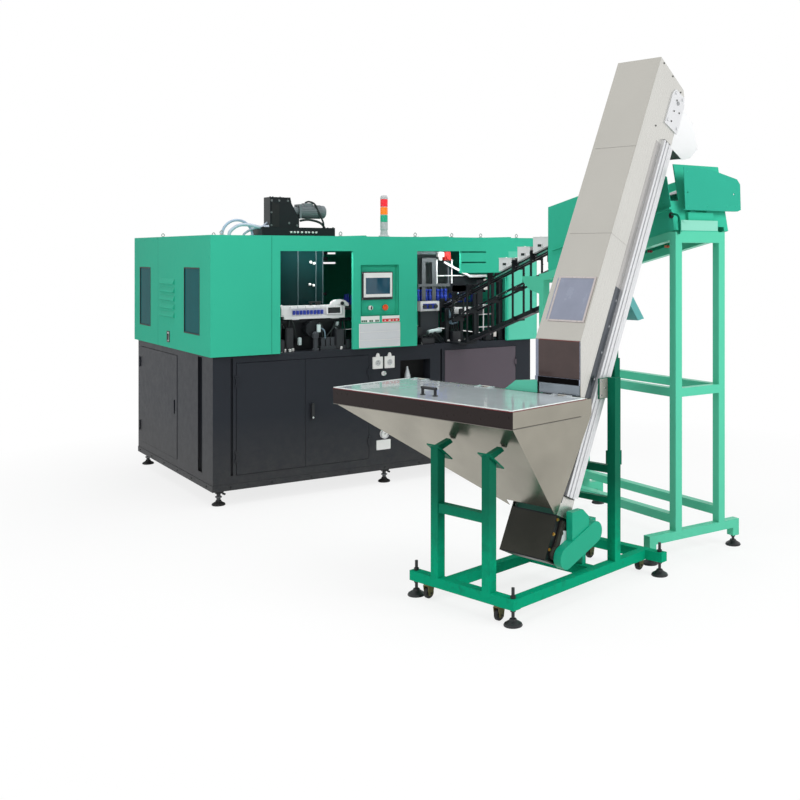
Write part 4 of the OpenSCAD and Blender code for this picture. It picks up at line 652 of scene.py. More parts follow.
# Levelling feet: swivel cups of black rubber under threaded steel stems with lock nuts. Cast
# brackets, welded under the base where it carries the most, hold the stems.
foot_places = [(x, y, way) for x in (88, 1379, 2650) for y, way in ((90, 1), (1808, -1))]
thread = [(14.6 if k % 2 else 13.6, 34 + k * 2.2) for k in range(1, 20)]
stems = Work("foot_stems")
for x, y, _ in foot_places:
    stems.lathe([(8.5, 34)] + thread + [(8.5, 78)], (x, y, 0), UP, 22)
    stems.rod((x, y, 52), (x, y, 62), 24, sides=6, bevel=1.5)
stems.make(plastic("dull steel stem", (96, 98, 100), rough=0.4, shader={"Metallic": 0.7}),
           slot="dark_steel")
brackets = Work("foot_brackets")
for x, y, way in foot_places:
    brackets.prism([(x - 32, 104), (x + 32, 104), (x + 24, 84), (x - 24, 84)], "y", y - 30, y + 30, 2.0)
    brackets.rod((x + 26, y - 6 * way, 78), (x + 46, y - 6 * way, 70), 7, sides=16, bevel=1.0)
brackets.make(black_steel, slot="dark_steel")
cups = Work("foot_cups")
for x, y, _ in foot_places:
    cups.lathe([(45.5, 1.5), (47.5, 4), (43.5, 12.4), (30, 20), (21, 26.6), (19, 34.6), (15, 35.4),
                (15, 30)], (x, y, 0), UP, 44)
cups.make(rubber, slot="black_plastic")


# Stretch drive on the roof: bolts of its folded bracket and flange, white plug connectors along the
# foot, two cables and two air hoses that loop from the drive back down through the roof.
roof_bolts = Work("bracket_bolts")
for x in (574, 1146):
    for y in (502, 600, 696):
        roof_bolts.bolt((x, y, 1947), UP, 7, 5)
for x, z in ((640, 1962), (640, 2060), (640, 2150), (845, 1962), (700, 2150), (770, 2150), (780, 1980)):
    roof_bolts.bolt((x, 500, z), NEAR, 6, 4.5)
for x in (640, 660, 720):
    roof_bolts.bolt((x, 530, 2176), UP, 6, 5)
for t in (math.radians(60 * k) for k in range(6)):
    roof_bolts.bolt((871, 560 + 46 * math.cos(t), 2072 + 46 * math.sin(t)), LEFT, 5, 4)
roof_bolts.make(plastic("grey bolt steel", (120, 124, 126), rough=0.35, shader={"Metallic": 0.7}))
clips = Work("roof_connectors")
for i, x in enumerate((784, 812, 838, 872, 905, 930, 962, 990)):
    clips.box((x, 484 + (i % 2) * 2, 1903), (x + 16, 491, 1917), 1.2)
    clips.rod((x + 8, 486, 1910), (x + 8, 478, 1910), 5, sides=14, bevel=0.6)
clips.make(white_plastic)
cable = Work("drive_cables")
cable.tube([(930, 545, 2140), (960, 540, 2150), (1000, 520, 2130), (1030, 505, 2060), (1062, 500, 1990),
            (1066, 505, 1945)], 7)
cable.tube([(870, 505, 1999), (930, 500, 2008), (1000, 500, 1998), (1050, 505, 1978), (1080, 512, 1944)], 9)
cable.make(dark_rubber)
hose = Work("roof_hose_second")
hose.tube([(330, 560, 1876), (340, 556, 1915), (400, 548, 1958), (480, 540, 1962), (560, 530, 1946),
           (626, 520, 1952)], 13, round_off=8)
hose.tube([(470, 640, 1876), (478, 632, 1900), (530, 610, 1934), (590, 580, 1950), (640, 560, 1990)], 9,
          round_off=8)
hose.make(plastic("milky air hose", (204, 216, 232), rough=0.25, shader={"Transmission Weight": 0.15}))
# painted shadow: a near-black sheet on the bracket's side stands for the shade in its slot
slot_shadow = Work("bracket_slot_shadow")
slot_shadow.prism([(640, 1950), (700, 1950), (700, 2120), (640, 2140)], "y", 496.5, 499.5, 0.4)
slot_shadow.make(plastic("shadowed slot", (14, 15, 17), rough=0.6))


# Mould bay: dark tinted screens clamped in alloy edge strips stand behind the transfer arm, held by
# white cap nuts. The arm carries a row of blue moulded grippers, white clamp blocks screwed to its
# edge, a bent end hook and black fittings, which all travel with it.
screens = Work("inner_screens")
for a, b in ((506, 731), (737, 874), (880, 930)):
    screens.box((a, 226, 1326), (b, 230, 1868), 0.8)
screens.make(pane("deep teal screen", (10, 38, 38), 0.97, rough=0.08, gloss=0.08, coat=0.0))
strips = Work("screen_strips")
for x in (731, 874, 930):
    strips.box((x, 222, 1324), (x + 6, 234, 1868), 0.8)
strips.box((506, 222, 1322), (936, 234, 1328), 0.8)
strips.make(plastic("grey edge strip", (84, 104, 108), rough=0.35, shader={"Metallic": 0.4}))
nuts = Work("screen_cap_nuts")
for x, z in ((836, 1682), (862, 1672), (828, 1516), (858, 1508), (560, 1600), (560, 1420)):
    nuts.lathe([(0, 0), (10, 0), (10.5, 3), (8.5, 9), (4, 13), (0, 14)], (x, 226, z), NEAR, 22)
nuts.make(white_plastic)
grippers = Work("arm_grippers")
for i in range(9):
    x = 645 + i * 27.5
    grippers.box((x, 103, 1300), (x + 18, 119.5, 1331), 2.0)
    grippers.rod((x + 9, 103.5, 1322), (x + 9, 98, 1322), 5.5, sides=16, bevel=0.6)
grippers.make(plastic("blue gripper plastic", (46, 66, 168), rough=0.3, mottle=0.2), "transfer_arm")
arm_bits = Work("arm_fittings")
for i in range(7):
    arm_bits.box((622 + i * 60, 100, 1346), (650 + i * 60, 112.5, 1362), 1.6)
arm_bits.box((548, 90, 1300), (576, 100.5, 1352), 2.0)
arm_bits.prism([(952, 1364), (1092, 1352), (1096, 1368), (1066, 1394), (1030, 1404), (986, 1400),
                (958, 1384)], "y", 112, 154, 2.0)
arm_bits.box((622, 99, 1340), (632, 112, 1346), 1.0)
for x in (908, 1020):
    arm_bits.box((x, 98.5, 1296), (x + 10, 112.5, 1350), 1.5)
arm_bits.box((918, 98.5, 1296), (1020, 112.5, 1303), 1.5)
arm_bits.make(white_paint, "transfer_arm", "white_paint")
arm_dark = Work("arm_dark_parts")
for x in (790, 838, 858):
    arm_dark.rod((x, 122, 1366), (x, 122, 1386), 9, sides=18, bevel=1.0)
arm_dark.box((776, 114, 1384), (876, 140, 1394), 1.5)
arm_dark.rod((1036, 111.5, 1376), (1036, 100, 1376), 13, sides=26, bevel=1.2)
arm_dark.box((918, 106, 1303), (1020, 112, 1346), 0.8)
arm_dark.make(black_plastic, "transfer_arm", "black_plastic")


# Oven bay seen through the middle opening: blue mandrel heads hang under a steel bar on two uprights,
# a white cover with a blue insert closes the valve row, and black posts screwed to the table carry
# white brackets and struts. A red and white air service unit is bolted on at the top.
blue_part = plastic("blue nylon part", (40, 62, 160), rough=0.3, mottle=0.25)
heads = Work("mandrel_heads")
for i in range(8):
    x = 1806 + i * 37
    heads.lathe([(0, 0), (13, 0), (16, 8), (16, 40), (12, 46), (12, 72), (16, 78), (16, 92), (8, 96),
                 (0, 96)], (x, 318, 1362), UP, 22)
heads.make(blue_part, slot="mandrel_blue")
stalks = Work("mandrel_stalks")
for i in range(8):
    stalks.rod((1806 + i * 37, 318, 1456), (1806 + i * 37, 318, 1482), 6, sides=16)
stalks.box((1799, 300, 1478), (2097, 332, 1500), 2.0)
stalks.box((1640, 330, 1740), (2100, 350, 1764), 2.0)
for x in (1700, 2090):
    stalks.box((x, 320, 1500), (x + 16, 346, 1764), 2.0)
stalks.make(plastic("steel bar grey", (112, 118, 124), rough=0.35, shader={"Metallic": 0.6}))
row_cover = Work("valve_row_cover")
row_cover.box((1758, 194.4, 1284.5), (1934, 245.6, 1364.6), 2.5)
row_cover.make(white_paint, slot="white_paint")
insert = Work("bracket_blue_insert")
insert.box((1782, 192.4, 1304), (1906, 195.4, 1346), 1.2)
insert.make(blue_part)
white_block = Work("white_bay_parts")
white_block.prism([(2056, 1258), (2226, 1254), (2238, 1276), (2232, 1300), (2210, 1309), (2062, 1309),
                   (2046, 1296)], "y", 150, 196, 3.0)
white_block.prism([(2138, 1409), (2349, 1430), (2349, 1480), (2138, 1484)], "y", 330, 352, 2.0)
white_block.prism([(2050, 1683), (2306, 1566), (2470, 1562), (2470, 1548), (2296, 1546), (2046, 1668)],
                  "y", 300, 314, 1.2)
for z in (1318, 1243, 1138):
    white_block.box((2244, 140, z), (2420, 150, z + 9), 1.0)
white_block.box((2319, 138, 1037), (2327, 148, 1347), 1.0)
for x in (1700, 1982, 2126):
    white_block.box((x, 318, 1500), (x + 9, 330, 1700), 1.0)
white_block.box((1982, 318, 1560), (2470, 328, 1568), 1.0)
white_block.make(white_paint, slot="white_paint")
posts = Work("bay_posts")
posts.boxes((((2213, 110, 1037), (2251, 140, 1420)), ((2418, 60, 1037), (2459, 96, 1590)),
             ((2140, 60, 1037), (2206, 130, 1080))), 2.0)
posts.boxes((((2364, 70, 1037), (2384, 90, 1552)), ((2236, 96, 1250), (2288, 108, 1530)),
             ((2100, 330, 1420), (2470, 338, 1560)), ((1620, 345, 1504), (1640, 352, 1764))), 1.5)
posts.prism([(2290, 1037), (2352, 1037), (2352, 1075), (2330, 1110), (2300, 1110)], "y", 60, 120, 3.0)
posts.make(black_steel, slot="dark_steel")
tags = Work("bay_tags")
tags.box((2297, 94, 1450), (2352, 98, 1536), 1.2)
tags.box((2372, 58, 1066), (2397, 70, 1130), 2.0)
tags.make(plastic("pale grey tag", (214, 208, 204), rough=0.4))
red_unit = Work("service_unit_red")
red_unit.box((2052, 300, 1690), (2108, 352, 1762), 3.0)
red_unit.rod((2080, 300, 1716), (2080, 286, 1716), 18, sides=28, bevel=2.0)
red_unit.make(plastic("red service plastic", (196, 40, 38), rough=0.35))
pale_unit = Work("service_unit_pale")
pale_unit.box((1996, 306, 1716), (2050, 346, 1760), 4.0)
pale_unit.rod((1655, 310, 1760), (1655, 310, 1722), 12, sides=20, bevel=2.0)
pale_unit.rod((2022, 326, 1716), (2022, 326, 1690), 15, sides=24, bevel=2.0)
pale_unit.make(white_plastic)


# Table-top fittings of both bays: air cylinders with clear tubes, plugs, junction boxes, and the
# hoses and cables between them. They are screwed to the table; each hose is held at both ends.
table = 1036
cylinders = Work("table_cylinders")
for x, y, l in ((1790, 130, 120), (1830, 172, 96)):
    cylinders.rod((x, y, 1122), (x + l, y, 1136), 17, sides=26, bevel=2.0)
for x, y, z in ((828, 66, 1196), (706, 130, 1102), (1014, 150, 1206)):
    cylinders.rod((x, y, z - 26), (x, y, z + 30), 15, sides=24, bevel=3.0)
cylinders.make(plastic("clear cylinder tube", (206, 224, 224), rough=0.15))
plugs = Work("table_plugs")
for x, y in ((540, 70), (575, 92), (604, 66), (640, 100), (540, 130), (1006, 60), (1044, 78), (1060, 120),
             (1652, 90), (1700, 70), (1738, 120), (1960, 96), (2040, 60), (2118, 90)):
    plugs.rod((x, y, table), (x, y, table + 22), 10, sides=16, bevel=2.0)
plugs.make(white_plastic)
boxes = Work("junction_boxes")
for x, y, w, d, h in ((512, 60, 50, 60, 90), (590, 110, 60, 50, 170), (960, 60, 70, 60, 150),
                      (1040, 50, 36, 90, 70), (1640, 120, 90, 70, 130), (1690, 60, 120, 50, 48),
                      (1980, 70, 80, 60, 90), (2480, 40, 180, 90, 120)):
    boxes.box((x, y, table), (x + w, y + d, table + h), 4.0)
    boxes.box((x + 6, y - 3, table + 8), (x + w - 6, y, table + h - 6), 1.0)
boxes.make(plastic("dark junction box", (30, 33, 38), rough=0.45))
hoses = Work("bay_hoses")
random.seed(4)
for x0, y0, z0, x1, y1, z1, lift in (
        (986, 90, 1186, 1064, 172, 1290, -40), (1000, 100, 1180, 1076, 168, 1276, -60),
        (950, 120, 1127, 1030, 176, 1250, 40), (1050, 90, 1106, 1084, 170, 1270, 20),
        (540, 90, 1126, 586, 130, 1200, 70), (620, 130, 1206, 700, 150, 1120, 60),
        (1020, 110, 1106, 900, 100, 1127, 90), (870, 90, 1127, 828, 70, 1226, 30)):
    mid = ((x0 + x1) / 2 + random.uniform(-14, 14), (y0 + y1) / 2 - 14, (z0 + z1) / 2 + lift)
    hoses.tube([(x0, y0, z0), ((x0 * 2 + mid[0]) / 3, y0, z0 + 40 + lift * 0.4), mid,
                ((x1 * 2 + mid[0]) / 3, y1, z1 + lift * 0.3), (x1, y1, z1)], 5.5, 12)
for k in range(5):
    x = 1984 + k * 13
    hoses.tube([(x, 190, 1302), (x + 8, 178, 1250), (x + 26 + k * 3, 172, 1196),
                (x + 20 + k * 9, 168, 1140), (x + 10 + k * 14, 150, 1060)], 5.0, 12)
for k in range(4):
    hoses.tube([(1700 + k * 40, 110, 1084), (1716 + k * 40, 100, 1104 + k * 6), (1760 + k * 40, 96, 1090),
                (1790 + k * 44, 110, 1050), (1830 + k * 40, 120, 1038)], 5.0, 12)
hoses.make(dark_rubber)
pale_hoses = Work("pale_air_hoses")
for k in range(3):
    pale_hoses.tube([(1986 + k * 12, 186, 1300), (2004 + k * 10, 172, 1262), (2000 + k * 12, 168, 1214),
                     (2022 + k * 10, 162, 1178), (2060 + k * 12, 150, 1190)], 4.2, 12)
pale_hoses.tube([(848, 74, 1200), (872, 66, 1180), (880, 70, 1130), (876, 84, 1096)], 4.2, 12)
pale_hoses.make(plastic("grey-blue air hose", (120, 146, 162), rough=0.3))


# Infeed rail: two dark neck rails with polished wear edges, upright frames that join them to the
# guide bars below, and three white hoods with level tops. Cap screws hold frames and hoods.
rail_x, rail_start, rail_fall = 2020, -1394, 0.31


def rail_top(y):
    # height of the rails' top, which meets the mandrel chain at y 300
    return 1332 + rail_fall * (300 - y)


RAIL = CABINET @ Matrix.Translation((rail_x, rail_start, rail_top(rail_start))) \
    @ Matrix.Rotation(-math.atan(rail_fall), 4, "X")
wear = Work("rail_wear_strips", RAIL)
for s in (-1, 1):
    wear.box((s * 12.1, 4, -4.5), (s * 15.5, 1760, 0.8), 0.5)
    wear.box((s * 24.0, 4, -24), (s * 25.4, 1760, -12), 0.4)
    wear.box((s * 45.2, 66, -161.9), (s * 52.8, 1700, -160.6), 0.3)
wear.make(brushed("polished rail edge", (196, 198, 200), rough=0.25, stretch=(300, 6, 300)),
          slot="machined_steel")
frame_bolts = Work("rail_frame_bolts")
for y in (-1300, -1016, -790, -470, -170, 40, 230):
    for s in (-1, 1):
        for z in (14, -70, -150):
            frame_bolts.bolt((rail_x + s * 55, y + 6, rail_top(y + 6) + z), (s, 0, 0), 4.2, 4)
frame_bolts.make(black_steel, slot="dark_steel")
hoods = Work("rail_hoods")
hood_slots = Work("rail_hood_slots")
for ya, yb, top in ((-775, -609, 1712), (-1001, -848, 1793), (-1216, -1039, 1862)):
    hoods.box((rail_x - 55, ya - 3, top), (rail_x + 55, yb + 3, top + 3), 1.0)
    for y in (ya + 22, yb - 22):
        hoods.lathe([(0, 0), (6, 0), (6, 3), (3, 5), (0, 5)], (rail_x, y, top + 3), UP, 18)
        for s in (-1, 1):
            hoods.screw((rail_x + s * 52, y, top - 14), (s, 0, 0), 4.0)
    mid = (ya + yb) / 2
    for s in (-1, 1):
        hood_slots.box((rail_x + s * 59.4, mid - 22, rail_top(mid) + 20),
                       (rail_x + s * 60.6, mid + 22, rail_top(mid) + 38), 0.3)
hoods.make(white_plastic, slot="white_paint")
hood_slots.make(dark_rubber)
guides = Work("rail_guide_screws", RAIL)
for y in range(120, 1700, 130):
    for s in (-1, 1):
        guides.screw((s * 53, y, -169), (s, 0, 0), 3.6)
        guides.screw((s * 25.4, y, -18), (s, 0, 0), 3.2)
guides.make(chrome, slot="machined_steel")


# Hopper: folded bead along the rim, polished edges of the clear lid, the end plate that rises to the
# casing, seams of the folded sheet and the hinges' screws. What is screwed to the lid swings with it.
LIFT = CABINET @ Matrix.Translation((411, -3014, 0)) @ Matrix.Rotation(LIFT_YAW, 4, "Z")
hinge_y = (150, 690, 1210)
bead = Work("rim_bead", LIFT)
bead.boxes((((20.6, 26, 999.6), (24.5, 1347, 1003.2)), ((24, 25.6, 999.6), (596, 29.4, 1003.2))), 0.8)
bead.make(paint("dark red bead", (118, 30, 36), rough=0.3, drift=0.12, dirt_and_shade=0.0, coat=0.3))
# painted highlight: the lid's edge strips are near white, for light caught along its polished edges
lid_edge = Work("lid_edge", LIFT)
lid_edge.boxes((((23.2, 27.4, 1003.4), (31, 1347.4, 1008.2)), ((31, 27.4, 1003.4), (590.6, 34, 1008.2)),
                ((31, 1341, 1003.4), (590.6, 1347.4, 1008.2)), ((582, 34, 1004), (590.6, 146, 1008.2))))
lid_edge.make(plastic("lid edge with painted highlight", (236, 244, 242), rough=0.2), "hopper_lid", "lid_clear")
end_plate = Work("hopper_end_plate", LIFT)
end_plate.prism([(364.6, 1004.6), (598, 1004.6), (517, 1059), (364.6, 1074)], "x", 607.6, 613.2, 0.6)
end_plate.make(paint("pale teal end plate", (96, 206, 176), rough=0.22, drift=0.08, dirt_and_shade=0.0, coat=0.4))
Work("casing_foot_plate", LIFT).box((617.4, 84, 1006), (619.4, 358, 1062), 0.5).make(
    brushed("polished foot sheet", (150, 158, 166), rough=0.16, metallic=0.9, cloud=0.25))
hinge_bits = Work("lid_hinge_screws", LIFT)
for y in hinge_y:
    for dy in (14, 46):
        hinge_bits.screw((604, y + dy, 1010), UP, 2.6)
hinge_bits.make(chrome)
lid_hinge_bits = Work("lid_leaf_screws", LIFT)
for y in hinge_y:
    for dy in (-22, -10, 70, 82):
        lid_hinge_bits.screw((574, y + dy, 1010.4), (0.2, 0, 1), 2.4)
lid_hinge_bits.make(chrome, "hopper_lid")
handle_caps = Work("lid_handle_caps", LIFT)
for y in (666, 760):
    handle_caps.lathe([(0, 0), (11, 0), (12, 1.6), (12, 4), (9, 6), (8, 6)], (145, y, 1006), UP, 26)
handle_caps.make(black_plastic, "hopper_lid", "black_plastic")
wall_seams = Work("hopper_seams", LIFT)
wall_seams.boxes((((21.4, 27, 915), (23.8, 1346, 918)), ((28, 26.4, 915), (560, 28.2, 918))), 0.4)
wall_seams.make(brushed("folded seam edge", (120, 116, 110), rough=0.4, metallic=0.7, turn=lean_turn))


# Lift casing: folded stainless sheet with an upright tinted pane in its foot and a framed window in
# its slope. Polished strips and slotted alloy profiles run up both sides, bolted on; small screws
# hold the head, and fine seams show where two lengths of sheet meet.
kink_x, kink_z, mid_y = 619.5, 1298, 221
CASING = LIFT @ Matrix.Translation((kink_x - kink_z * math.tan(LEAN), 0, 0)) \
    @ Matrix.Rotation(LEAN, 4, "Y")


def on_slope(x, z):
    # depth and distance up the slope of a point given in the lift's frame
    x = x - kink_x + kink_z * math.tan(LEAN)
    return (x * math.cos(LEAN) - z * math.sin(LEAN), x * math.sin(LEAN) + z * math.cos(LEAN))


def both_sides(y0, y1):
    # a thickness on the casing's near side, and its mirror image on the far side
    return (y0, y1), (2 * mid_y - y1, 2 * mid_y - y0)


maroon = pane("dark maroon pane", (74, 58, 56), 0.98, rough=0.14, mottle=0.3)
Work("upright_pane", LIFT).box((613.2, 83, 1096), (615.3, 359, 1291), 0.5).make(maroon)
Work("pane_foot_band", LIFT).box((607.6, 83, 1064.5), (609.4, 359, 1094.5), 0.5).make(
    plastic("black foot band", (6, 4, 5), rough=0.6, shader={"Specular IOR Level": 0.05}))
Work("pane_top_edge", LIFT).box((612.6, 82.4, 1290), (616, 359.6, 1293.4), 0.5).make(
    paint("red-brown pane edge", (128, 66, 64), rough=0.35, dirt_and_shade=0.0))
window_frame = Work("window_frame", CASING)
window_frame.boxes((((-4.6, 90, 1538), (-0.2, 102, 1800)), ((-4.6, 328, 1538), (-0.2, 340, 1800)),
                    ((-4.6, 102, 1538), (-0.2, 328, 1548)), ((-4.6, 102, 1790), (-0.2, 328, 1800))), 0.8)
window_frame.make(brushed("window frame sheet", (198, 190, 188), rough=0.3, metallic=0.6, turn=lean_turn))
side_strips = Work("casing_side_strips", CASING)
side_bolts = Work("casing_strip_bolts", CASING)
for y0, y1 in both_sides(78.6, 80.1):
    side_strips.box((160, y0, 640), (209, y1, 1820), 0.4)
    for s in range(700, 2800, 150):
        side_bolts.bolt((196, y0 if y0 < mid_y else y1, s), NEAR if y0 < mid_y else FAR, 3.6, 3)
# the strips are real; their dark tone and strong clouds low down are a painted reflection, and the upper
# strips keep the pale tone
side_strips.make(brushed("polished strip with painted dark reflection", (88, 92, 98), rough=0.2, metallic=0.85, turn=lean_turn,
                         stretch=(60, 60, 3), cloud=0.5, grain=0.2))
side_bolts.make(chrome, slot="machined_steel")
upper_strips = Work("casing_upper_strips", CASING)
for y0, y1 in both_sides(78.8, 80.1):
    upper_strips.box((160, y0, 1820), (209, y1, 2730), 0.4)
upper_strips.make(brushed("pale polished strip", (186, 184, 182), rough=0.2, metallic=0.85,
                          turn=lean_turn, stretch=(60, 60, 3), cloud=0.3, grain=0.06))
side_outline = [(201.5, 577), (201.5, 1203.5), on_slope(621, 1003), on_slope(621, kink_z), (1.5, 3183),
                (281, 3138), (306.5, 3106.5), (306.5, 577)]
# painted light: the side sheets repeat the casing's stainless in a lighter tone, for the light on that side
side_sheets = Work("casing_side_sheets", CASING)
for y0, y1 in both_sides(79.5, 80.3):
    side_sheets.prism(side_outline, "y", y0, y1, 0.2)
side_sheets.make(brushed("side sheet with painted light", (212, 211, 206), rough=0.28, metallic=0.8, turn=lean_turn,
                         stretch=(420, 420, 2.5), cloud=0.06, grain=0.03, relief=0.02))
profile_back = Work("profile_cover_strips", CASING)
profile_back.boxes((((282, y0, 690), (305, y1, 2750)) for y0, y1 in both_sides(59.5, 61)), 0.5)
profile_back.make(profile_alloy)
casing_seams = Work("casing_seams", CASING)
for s in (2060, 2600):
    casing_seams.box((-0.8, 81, s), (0.6, 361, s + 1.6), 0.0)
for y0, y1 in both_sides(79.2, 80.6):
    casing_seams.box((0.4, y0, 2060), (160, y1, 2061.6), 0.0)
casing_seams.make(paint("sheet seam line", (150, 148, 142), rough=0.5, dirt_and_shade=0.0))
head_screws = Work("head_screws", CASING)
for n, s in ((238, 2900), (238, 2968), (238, 3040), (150, 3150), (40, 3168), (262, 3110), (120, 2800),
             (290, 2985)):
    bearing_plate = 184 < n < 324 and s < 3090
    y = 71.8 if bearing_plate else 79.5
    head_screws.bolt((n, y, s), NEAR, 4.0, 3.5)
    head_screws.bolt((n, 2 * mid_y - y, s), FAR, 4.0, 3.5)
head_screws.make(plastic("grey zinc screw", (120, 120, 118), rough=0.4, shader={"Metallic": 0.7}))
profile_lips = Work("profile_lips", CASING)
for y0, y1 in both_sides(58.8, 60.2):
    for n in (211, 237, 257, 279):
        profile_lips.box((n, y0, 684), (n + 2.4, y1, 2756), 0.4)
profile_lips.make(brushed("bright profile lip", (236, 236, 238), rough=0.3, metallic=0.4, turn=lean_turn))
profile_caps = Work("profile_caps", CASING)
for y0, y1 in both_sides(61, 79):
    for s0, s1 in ((676, 680), (2760, 2764)):
        profile_caps.box((211, y0, s0), (281, y1, s1), 1.2)
profile_caps.make(black_plastic, slot="black_plastic")
plate_bolts = Work("profile_plate_bolts", LIFT)
for x, z in ((752, 1078), (790, 1040), (756, 1004), (820, 1072), (820, 1004)):
    plate_bolts.bolt((x, 50, z), NEAR, 5.5, 4.5)
    plate_bolts.bolt((x, 2 * mid_y - 50, z), FAR, 5.5, 4.5)
plate_bolts.make(chrome, slot="machined_steel")
carrier = Work("profile_plates", LIFT)
carrier.boxes(((744, y0, 987), (830, y1, 1090)) for y0, y1 in both_sides(48.6, 50.1))
carrier.make(brushed("zinc plated plate", (196, 190, 184), rough=0.34, metallic=0.6))


# Boot and drive at the lift's foot: black side strips held by brass-coloured nuts, the folded seams
# of the boot, and a bare pale plate riveted to the chain guard.
boot_strip = Work("boot_side_strip", CASING)
boot_strip.boxes((((201.5, y0, 352), (272, y1, 574)) for y0, y1 in both_sides(78.4, 80.2)), 0.5)
boot_strip.make(plastic("black boot strip", (16, 14, 18), rough=0.3))
boot_nuts = Work("boot_nuts", CASING)
for s in (556, 482, 404):
    boot_nuts.bolt((212, 78.4, s), NEAR, 6, 6)
    boot_nuts.bolt((212, 2 * mid_y - 78.4, s), FAR, 6, 6)
boot_nuts.make(brushed("yellow zinc nut", (196, 158, 84), rough=0.3))
boot_seam = Work("boot_seams", CASING)
boot_seam.boxes((((198.6, 81, 568), (200.6, 361, 575)), ((198.6, 81, 345), (200.6, 361, 351))), 0.4)
boot_seam.make(black_steel, slot="dark_steel")
bare_plate = Work("drive_bare_plate", LIFT)
bare_plate.prism([(456, 352), (512, 338), (498, 292), (420, 268)], "y", 61.2, 63.4, 0.6)
bare_plate.make(grey_plate, slot="white_plastic")


# Sorter: a rubber grommet and a bent green tube at the trough's near end, a pale folded channel in
# front, two sensors under the flange, and the cap screws of side plates and cover. The trough's
# screws follow its tilt.
TROUGH = CABINET @ Matrix.Translation((1795, -2645, 1905)) @ Matrix.Rotation(math.radians(-12), 4, "X")
grommet = Work("trough_grommet")
grommet.lathe([(9, 0), (18, 0), (18, 8), (14, 12), (9, 12), (9, 0)], (1795, -2628, 1967), LEFT, 32)
grommet.rod((1795.5, -2628, 1967), (1792, -2628, 1967), 9, sides=20)
grommet.make(rubber, slot="black_plastic")
bent_tube = Work("trough_tube")
bent_tube.tube([(1788, -2636, 1969), (1786, -2662, 1972), (1800, -2676, 1960), (1808, -2678, 1920),
                (1809, -2678, 1880), (1809, -2672, 1860)], 6.5, 16, 8)
bent_tube.make(stand_green_painted_shade, slot="stand_green")
channel = Work("front_channel_plate")
channel.box((1834, -2664.4, 1880), (2132, -2662.8, 1940), 0.8)
channel.box((1846, -2668, 1926), (1880, -2663, 1941), 1.5)
channel.make(paint("pale green channel", (140, 212, 190), rough=0.4, drift=0.06, dirt_and_shade=0.0))
sensors = Work("trough_sensors")
sensors.box((1840, -2400, 1752), (1854, -2372, 1768), 2.0)
sensors.rod((1847, -2400, 1760), (1847, -2408, 1759), 5, sides=18, bevel=0.8)
sensors.make(plastic("dark red sensor", (126, 14, 28), rough=0.3))
sensor_b = Work("trough_sensor_near")
sensor_b.box((1840, -2546, 1781), (1854, -2518, 1797), 2.0)
sensor_b.rod((1847, -2546, 1789), (1847, -2556, 1790), 5, sides=18, bevel=0.8)
sensor_b.make(plastic("orange sensor", (214, 92, 48), rough=0.3, mottle=0.3))
trough_screws = Work("trough_screws", TROUGH)
for y in range(60, 1200, 140):
    for z in (60, 150, 300):
        if not (z == 300 and y < 120) and y < 1160:
            trough_screws.screw((0, y, z), LEFT, 4.2)
            trough_screws.screw((440, y, z), RIGHT, 4.2)
trough_screws.make(sea_green, slot="guard_green")
flap_screws = Work("flap_screws")
for x, z in ((1866, 2218), (1872, 2020), (2030, 2024), (2190, 2026), (2270, 2030), (2030, 2224)):
    flap_screws.screw((x, -2681.2, z), NEAR, 4.4)
flap_screws.make(sea_green, "flap", "guard_green")


# Right end sheet of the guard's front: a separate steel sheet of the same paint, made a paler green as
# a painted highlight of glare, screwed over the fold with six cap screws.
end_panel = Work("right_front_sheet")
end_panel.box((2476, -1.4, 1040), (2758, -0.1, 1764), 0.5)
for z in (1060, 1400, 1744):
    for x in (2486, 2748):
        end_panel.screw((x, -1.4, z), NEAR, cap_r)
# painted highlight: glare on the sheet, given as a paler green
end_panel.make(paint("green sheet with painted glare", (92, 200, 172), rough=0.32, drift=0.05, dirt_and_shade=0.03, coat=0.15))


# Studio, not part of the machine: a pale floor that keeps the shadow and is white to the camera, a
# white world, three softboxes, two small lamps under the roof's front edge that light the bays, and
# the camera at the height, turn and lens that the machine's own edges give.
def background_rays(tree):
    # 1 for the rays that meet the plain white background: seen, mirrored or seen through
    path = tree.nodes.new("ShaderNodeLightPath").outputs
    return math_node(tree, "MAXIMUM", path["Is Camera Ray"],
                     math_node(tree, "MAXIMUM", path["Is Glossy Ray"], path["Is Transmission Ray"]))


def mix_shaders(tree, kind, amount, first, second):
    # the material's or world's output, from two shaders mixed by the amount
    tree.nodes.clear()
    out = tree.nodes.new(kind)
    mix = tree.nodes.new("ShaderNodeMixShader")
    tree.links.new(amount(tree), mix.inputs[0])
    for i, (shader, values) in enumerate((first, second)):
        node = tree.nodes.new(shader)
        for key, value in values.items():
            node.inputs[key].default_value = value
        tree.links.new(node.outputs[0], mix.inputs[i + 1])
    tree.links.new(mix.outputs[0], out.inputs[0])


def floor_rays(tree):
    # the white share is lower near the machine, where the floor shows its shadow
    middle, shadow_reach, near_share = (1.2, -0.9, 0.0), 2.4, 0.8
    away = tree.nodes.new("ShaderNodeVectorMath")
    away.operation = "DISTANCE"
    away.inputs[1].default_value = middle
    tree.links.new(tree.nodes.new("ShaderNodeTexCoord").outputs["Object"], away.inputs[0])
    far = math_node(tree, "SUBTRACT", away.outputs["Value"], shadow_reach)
    far = math_node(tree, "MULTIPLY", far, 0.5, clamp=True)
    share = math_node(tree, "ADD", math_node(tree, "MULTIPLY", far, 1.0 - near_share), near_share)
    return math_node(tree, "MULTIPLY", background_rays(tree), share)


